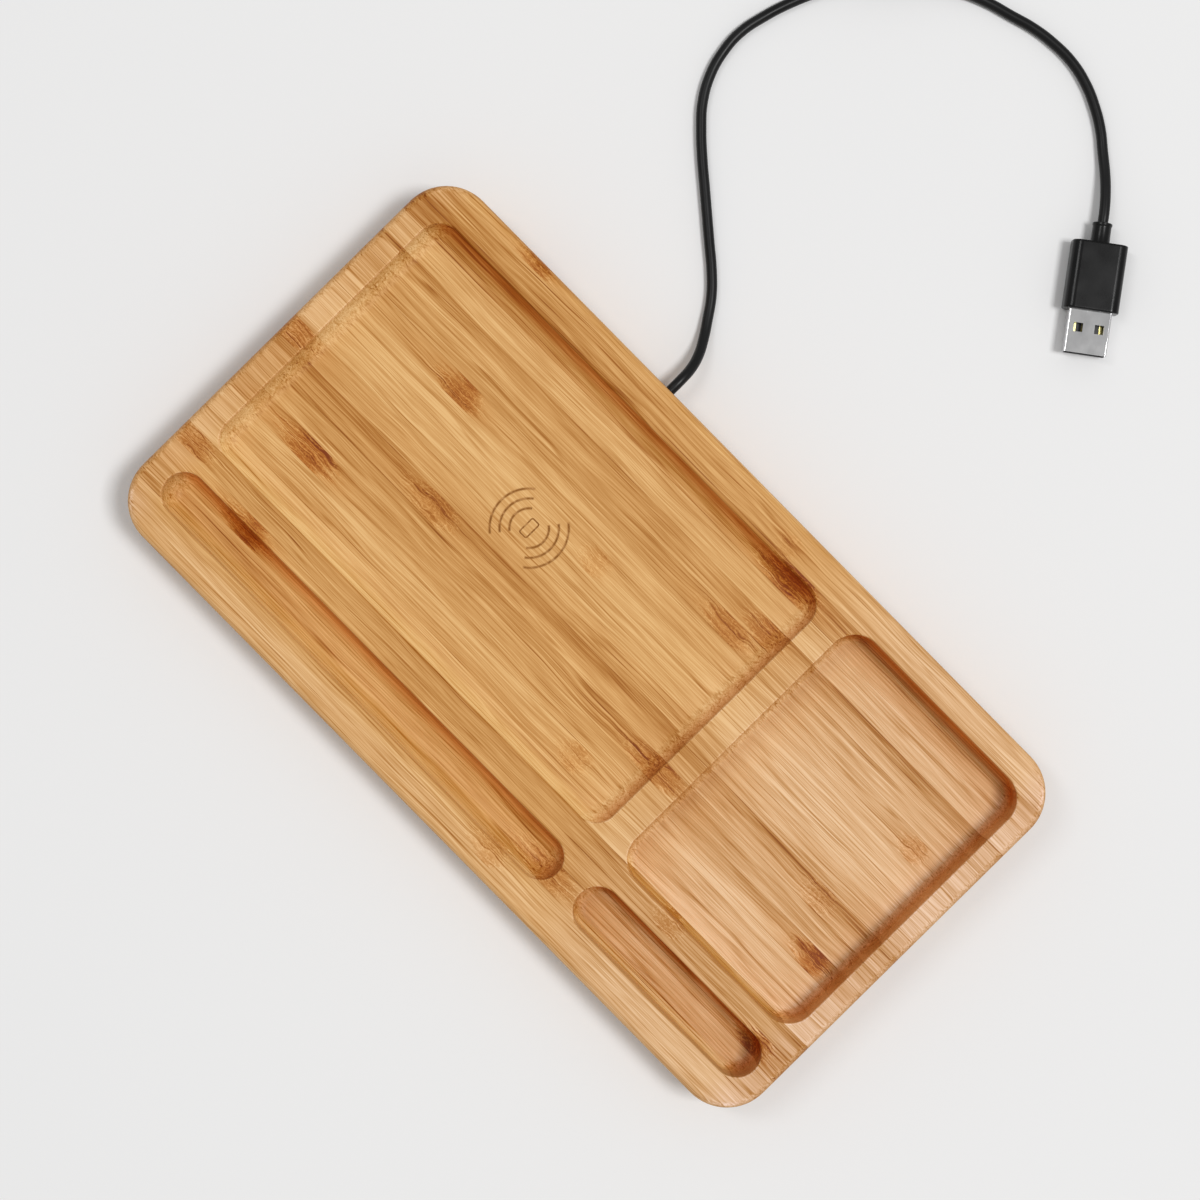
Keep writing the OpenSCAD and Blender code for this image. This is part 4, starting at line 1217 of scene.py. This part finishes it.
crossed = node("GeometryNodeTransform", {"Geometry": bar, "Rotation": (0, 0, QUARTER)})[0]
cut = node(
    "GeometryNodeMeshBoolean", {"Mesh 1": head, "Mesh 2": [crossed, bar]},
    operation="DIFFERENCE", solver="EXACT")[0]
whole = node("GeometryNodeJoinGeometry", {0: [cut, threaded]})[0]
copies = node("GeometryNodeInstanceOnPoints", {"Points": given["places"], "Instance": whole})[0]
end_tree(given, copies)
print("screw:", len(screw_tree.nodes), "nodes")

# %% Screws
steel = new_finish("zinc_steel", Metallic=1.0)
place = place_in_mm()
tarnish = noise(place, 2.5, detail=5)
scratches = noise(place, (0.15, 1.6, 0.15), detail=3)
surface(
    Base_Color=ramp(tarnish, [(0.3, (0.50, 0.50, 0.49)), (0.75, (0.64, 0.64, 0.63))]),
    Roughness=rise(scratches, 0.2, 0.8, 0.24, 0.42))
bump(scratches, 0.01, 0.5)


def corners(y, half_x, half_y, z):
    """Places of four screws round a middle under the charger."""
    return [(CHARGER_X + sx * half_x, y + sy * half_y, z) for sx in (-1, 1) for sy in (-1, 1)]


SCREWS = {                # places in mm, then the sizes that differ
    "cover_screws": (corners(CHARGER_Y, COVER_SCREW_X, COVER_SCREW_Y, 2), dict(
        shank=1.25, length=10.0, head=2.6, head_height=1.35, head_above=1.35, neck=1.25,
        pitch=0.9)),
    "board_screws": (corners(BOARD_Y, BOARD_SCREW_X, BOARD_SCREW_Y, 8.3), dict(
        shank=1.0, length=5.0, head=1.9, head_height=1.2, neck=1.9, pitch=0.6)),
    "clamp_screws": ([(CHARGER_X + sx * CLAMP_SCREW_X, CLAMP_Y, 5.7) for sx in (-1, 1)], dict(
        shank=1.0, length=7.0, head=1.9, head_height=1.2, neck=1.9, pitch=0.6))}
for name, (places, sizes) in SCREWS.items():
    screws = cook(
        screw_tree, name + "_threaded", steel, places=[Vector(p) * MM for p in places],
        **{label: size * MM for label, size in sizes.items()})
    stand_for(screws, "screw_steel", name)
    print(name + ":", len(screws.data.polygons), "faces")

# %% [markdown]
# ## The charging coil
#
# Ten turns of litz wire lie in one flat spiral, and litz is itself a bundle of fine enamelled
# strands with a slight twist. The spiral is one curve, swept with a round section: a rule again,
# so it is a tree with the radii and the number of turns as inputs. The twist of the strands is
# left to the material.

# %% Coil
coil_tree, given = new_tree(
    "litz_spiral", turns=10.0, inner=0.0106, outer=0.0214, wire=0.0012, round=64)
line = node("GeometryNodeCurveSpiral", {
    "Resolution": given["round"], "Rotations": given["turns"], "Start Radius": given["inner"],
    "End Radius": given["outer"], "Height": 0.0})[0]
section = node("GeometryNodeCurvePrimitiveCircle", {
    "Resolution": 10, "Radius": given["wire"] * 0.5})["Curve"]
wound = node("GeometryNodeCurveToMesh", {
    "Curve": line, "Profile Curve": section, "Fill Caps": True})[0]
copies = node("GeometryNodeInstanceOnPoints", {"Points": given["places"], "Instance": wound})[0]
end_tree(given, copies)

litz = new_finish("litz_copper", Metallic=0.6, Roughness=0.38)
from_core = place_in_mm() - (CHARGER_X, CHARGER_Y, 0)
core_x, core_y, _ = split(from_core)
strands = calc("ARCTAN2", core_y, core_x) * 60 + calc("LENGTH", from_core) * 9
strands = calc("SINE", strands) * 0.5 + 0.5
surface(Base_Color=ramp(strands, [(0.1, (0.30, 0.085, 0.025)), (0.9, (0.72, 0.30, 0.12))]))
bump(strands, 0.06, 0.7)
coil_at = Vector((CHARGER_X, CHARGER_Y, 12.3)) * MM
coil = cook(coil_tree, "coil_spiral", litz, places=[coil_at])
stand_for(coil, "copper", "charging_coil")
print("coil:", len(coil.data.polygons), "faces")

# %% [markdown]
# ## Metal and contacts of the plug
#
# The shell is folded from nickel-plated steel sheet with two square windows on each side, and
# the construction already has it with its true wall. It only needs its finish: bright metal,
# finely brushed along the plug, a little duller in soft clouds. The tongue is black plastic, and
# the four contacts on it are gold over nickel, so they look greenish yellow through the windows.

# %% Finishes of the plug
def coat(finish, *names):
    """Gives a finish to solids of the construction that keep their own shape."""
    for name in names:
        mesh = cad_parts[name].data
        for slot in range(len(mesh.materials)):
            mesh.materials[slot] = finish


nickel = new_finish("nickel_plate", Metallic=1.0)
place = place_from(tuple(plug_at / MM), PLUG_ANGLE)
brushed = noise(place, (9, 0.12, 0.12), detail=4, roughness=0.6)
clouds = noise(place, (6, 5, 5), detail=3)
surface(
    Base_Color=ramp(clouds, [(0.3, (0.70, 0.70, 0.71)), (0.75, (0.80, 0.80, 0.80))]),
    Roughness=rise(brushed * 0.5 + clouds * 0.5, 0.3, 0.7, 0.08, 0.12))
bump(brushed, 0.001, 0.5)
coat(nickel, "plug_shell")

gold = new_finish("contact_gold", Metallic=1.0)
rubbed = noise(place_from(tuple(plug_at / MM), PLUG_ANGLE), (2.5, 0.1, 0.1), detail=3)
surface(
    Base_Color=ramp(rubbed, [(0.3, (0.72, 0.62, 0.22)), (0.7, (0.88, 0.80, 0.38))]),
    Roughness=rise(rubbed, 0.2, 0.8, 0.2, 0.34))
coat(gold, "plug_contacts")


def plastic(name, dark, pale, grain, depth, gloss, level, *names):
    """Moulded plastic on solids: slight flow clouds, a fine grain and an uneven gloss."""
    finish = new_finish(name, Specular_IOR_Level=level)
    place = place_in_mm()
    clouds = noise(place, 12 * grain, detail=3)
    surface(
        Base_Color=ramp(clouds, [(0.3, dark), (0.75, pale)]),
        Roughness=rise(clouds, 0.2, 0.85, gloss - 0.06, gloss + 0.06))
    bump(noise(place, grain, detail=4, roughness=0.6), depth, 0.7)
    coat(finish, *names)


# Darkest and palest colour, grain and relief in mm, roughness and specular level
plastic(
    "tongue_plastic", (0.010, 0.010, 0.011), (0.020, 0.020, 0.021), 0.3, 0.01, 0.45, 0.4,
    "plug_tongue")
plastic(
    "cover_plastic", (0.020, 0.020, 0.021), (0.030, 0.030, 0.031), 0.5, 0.06, 0.62, 0.4,
    "bottom_cover")
plastic(
    "clamp_plastic", (0.60, 0.58, 0.52), (0.70, 0.68, 0.62), 0.4, 0.02, 0.5, 0.4, "cord_clamp")
coat(jacket, "inner_cord")
print("plug and plastics finished")

# %% [markdown]
# ## The charger's inside
#
# Nobody sees these parts until the cover is off, but each has its own stuff and gets it. The
# solids of the construction keep their shapes here, and only the finish is new: a green solder
# mask over faint tracks, gritty dark ferrite, amber film, ceramic with silvered ends, glossy
# insulation on the four conductors. Tracks on a board run straight and turn by steps, so they
# are drawn from rounded places rather than from noise.

# %% Board, ferrite, film and tape
def even_cells(place, size):
    """Centre of the cell that a place lies in, for patterns that go in steps."""
    return calc("FLOOR", place / size) * size


green = new_finish("solder_mask", Specular_IOR_Level=0.5, Coat_Weight=0.3, Coat_Roughness=0.2)
place = place_in_mm()
lane = even_cells(place, (6, 0.8, 10))
rung = even_cells(place, (0.8, 6, 10))
run_on = noise(lane, (1.3, 1.7, 9), detail=0) > 0.52
climb_on = noise(rung, (1.9, 1.1, 9), detail=0) > 0.56
px, py, _ = split(place)
in_lane = calc("PINGPONG", py, 0.4) < 0.22
in_rung = calc("PINGPONG", px, 0.4) < 0.22
tracks = calc("MAXIMUM", run_on * in_lane, climb_on * in_rung)
surface(
    Base_Color=mix(tracks, (0.006, 0.050, 0.020, 1), (0.015, 0.105, 0.040, 1)),
    Roughness=rise(noise(place, 5), 0.3, 0.7, 0.28, 0.4))
bump(tracks, 0.035, 0.8)
coat(green, "circuit_board")

ferrite = new_finish("ferrite", Specular_IOR_Level=0.4)
grit = noise(place_in_mm(), 0.3, detail=5, roughness=0.7)
surface(
    Base_Color=ramp(grit, [(0.35, (0.020, 0.020, 0.022)), (0.7, (0.075, 0.073, 0.072))]),
    Roughness=rise(grit, 0.3, 0.7, 0.45, 0.7))
bump(grit, 0.03, 0.8)
coat(ferrite, "ferrite_plate")

plastic(
    "amber_film", (0.42, 0.16, 0.015), (0.56, 0.24, 0.03), 1.2, 0.01, 0.22, 0.5,
    "insulating_film")
plastic(
    "tape_backing", (0.66, 0.65, 0.60), (0.76, 0.75, 0.71), 0.6, 0.03, 0.7, 0.3, "coil_tape")
print("board, ferrite, film and tape finished")

# %% Parts under the board
SOLDER = (0.62, 0.62, 0.60)


def darker(colour, share):
    return tuple(part * share for part in colour)


def capped(name, body, half_length, middle, node_name):
    """Ceramic with metal at both ends, found by the distance from the middle along X."""
    finish = new_finish(name, Roughness=0.4)
    place = place_in_mm()
    speckle = noise(place, 0.25, detail=4)
    is_end = abs(split(place - (middle, 0, 0))["X"]) > half_length
    stone = ramp(speckle, [(0.3, darker(body, 0.75)), (0.7, body)])
    metal = ramp(speckle, [(0.3, darker(SOLDER, 0.85)), (0.7, SOLDER)])
    surface(Base_Color=mix(is_end, stone, metal), Metallic=is_end)
    bump(speckle, 0.01, 0.5)
    coat(finish, node_name)


capped("resonant_ceramic", (0.36, 0.20, 0.10), 1.7, -14, "resonant_capacitors")
capped("filter_ceramic", (0.42, 0.27, 0.15), 1.1, -25, "filter_capacitors")
plastic(
    "chip_epoxy", (0.012, 0.012, 0.013), (0.022, 0.022, 0.023), 0.15, 0.02, 0.5, 0.4,
    "controller_chip", "power_transistors", "chip_resistors")
plastic(
    "inductor_shield", (0.10, 0.10, 0.105), (0.16, 0.16, 0.165), 0.2, 0.03, 0.5, 0.4,
    "power_inductor")
plastic(
    "led_lens", (0.78, 0.77, 0.62), (0.86, 0.85, 0.72), 0.3, 0.005, 0.25, 0.5, "status_leds")
coat(steel, "clock_crystal")
coat(litz, "coil_leads")
print("parts under the board finished")

# %% Conductors
INSULATION = {
    "wire_red": (0.42, 0.012, 0.010), "wire_black": (0.014, 0.014, 0.015),
    "wire_green": (0.015, 0.20, 0.035), "wire_white": (0.74, 0.74, 0.72)}
for name, colour in INSULATION.items():
    plastic(name + "_insulation", darker(colour, 0.8), colour, 0.4, 0.008, 0.35, 0.5, name)
print("conductors finished:", len(INSULATION))
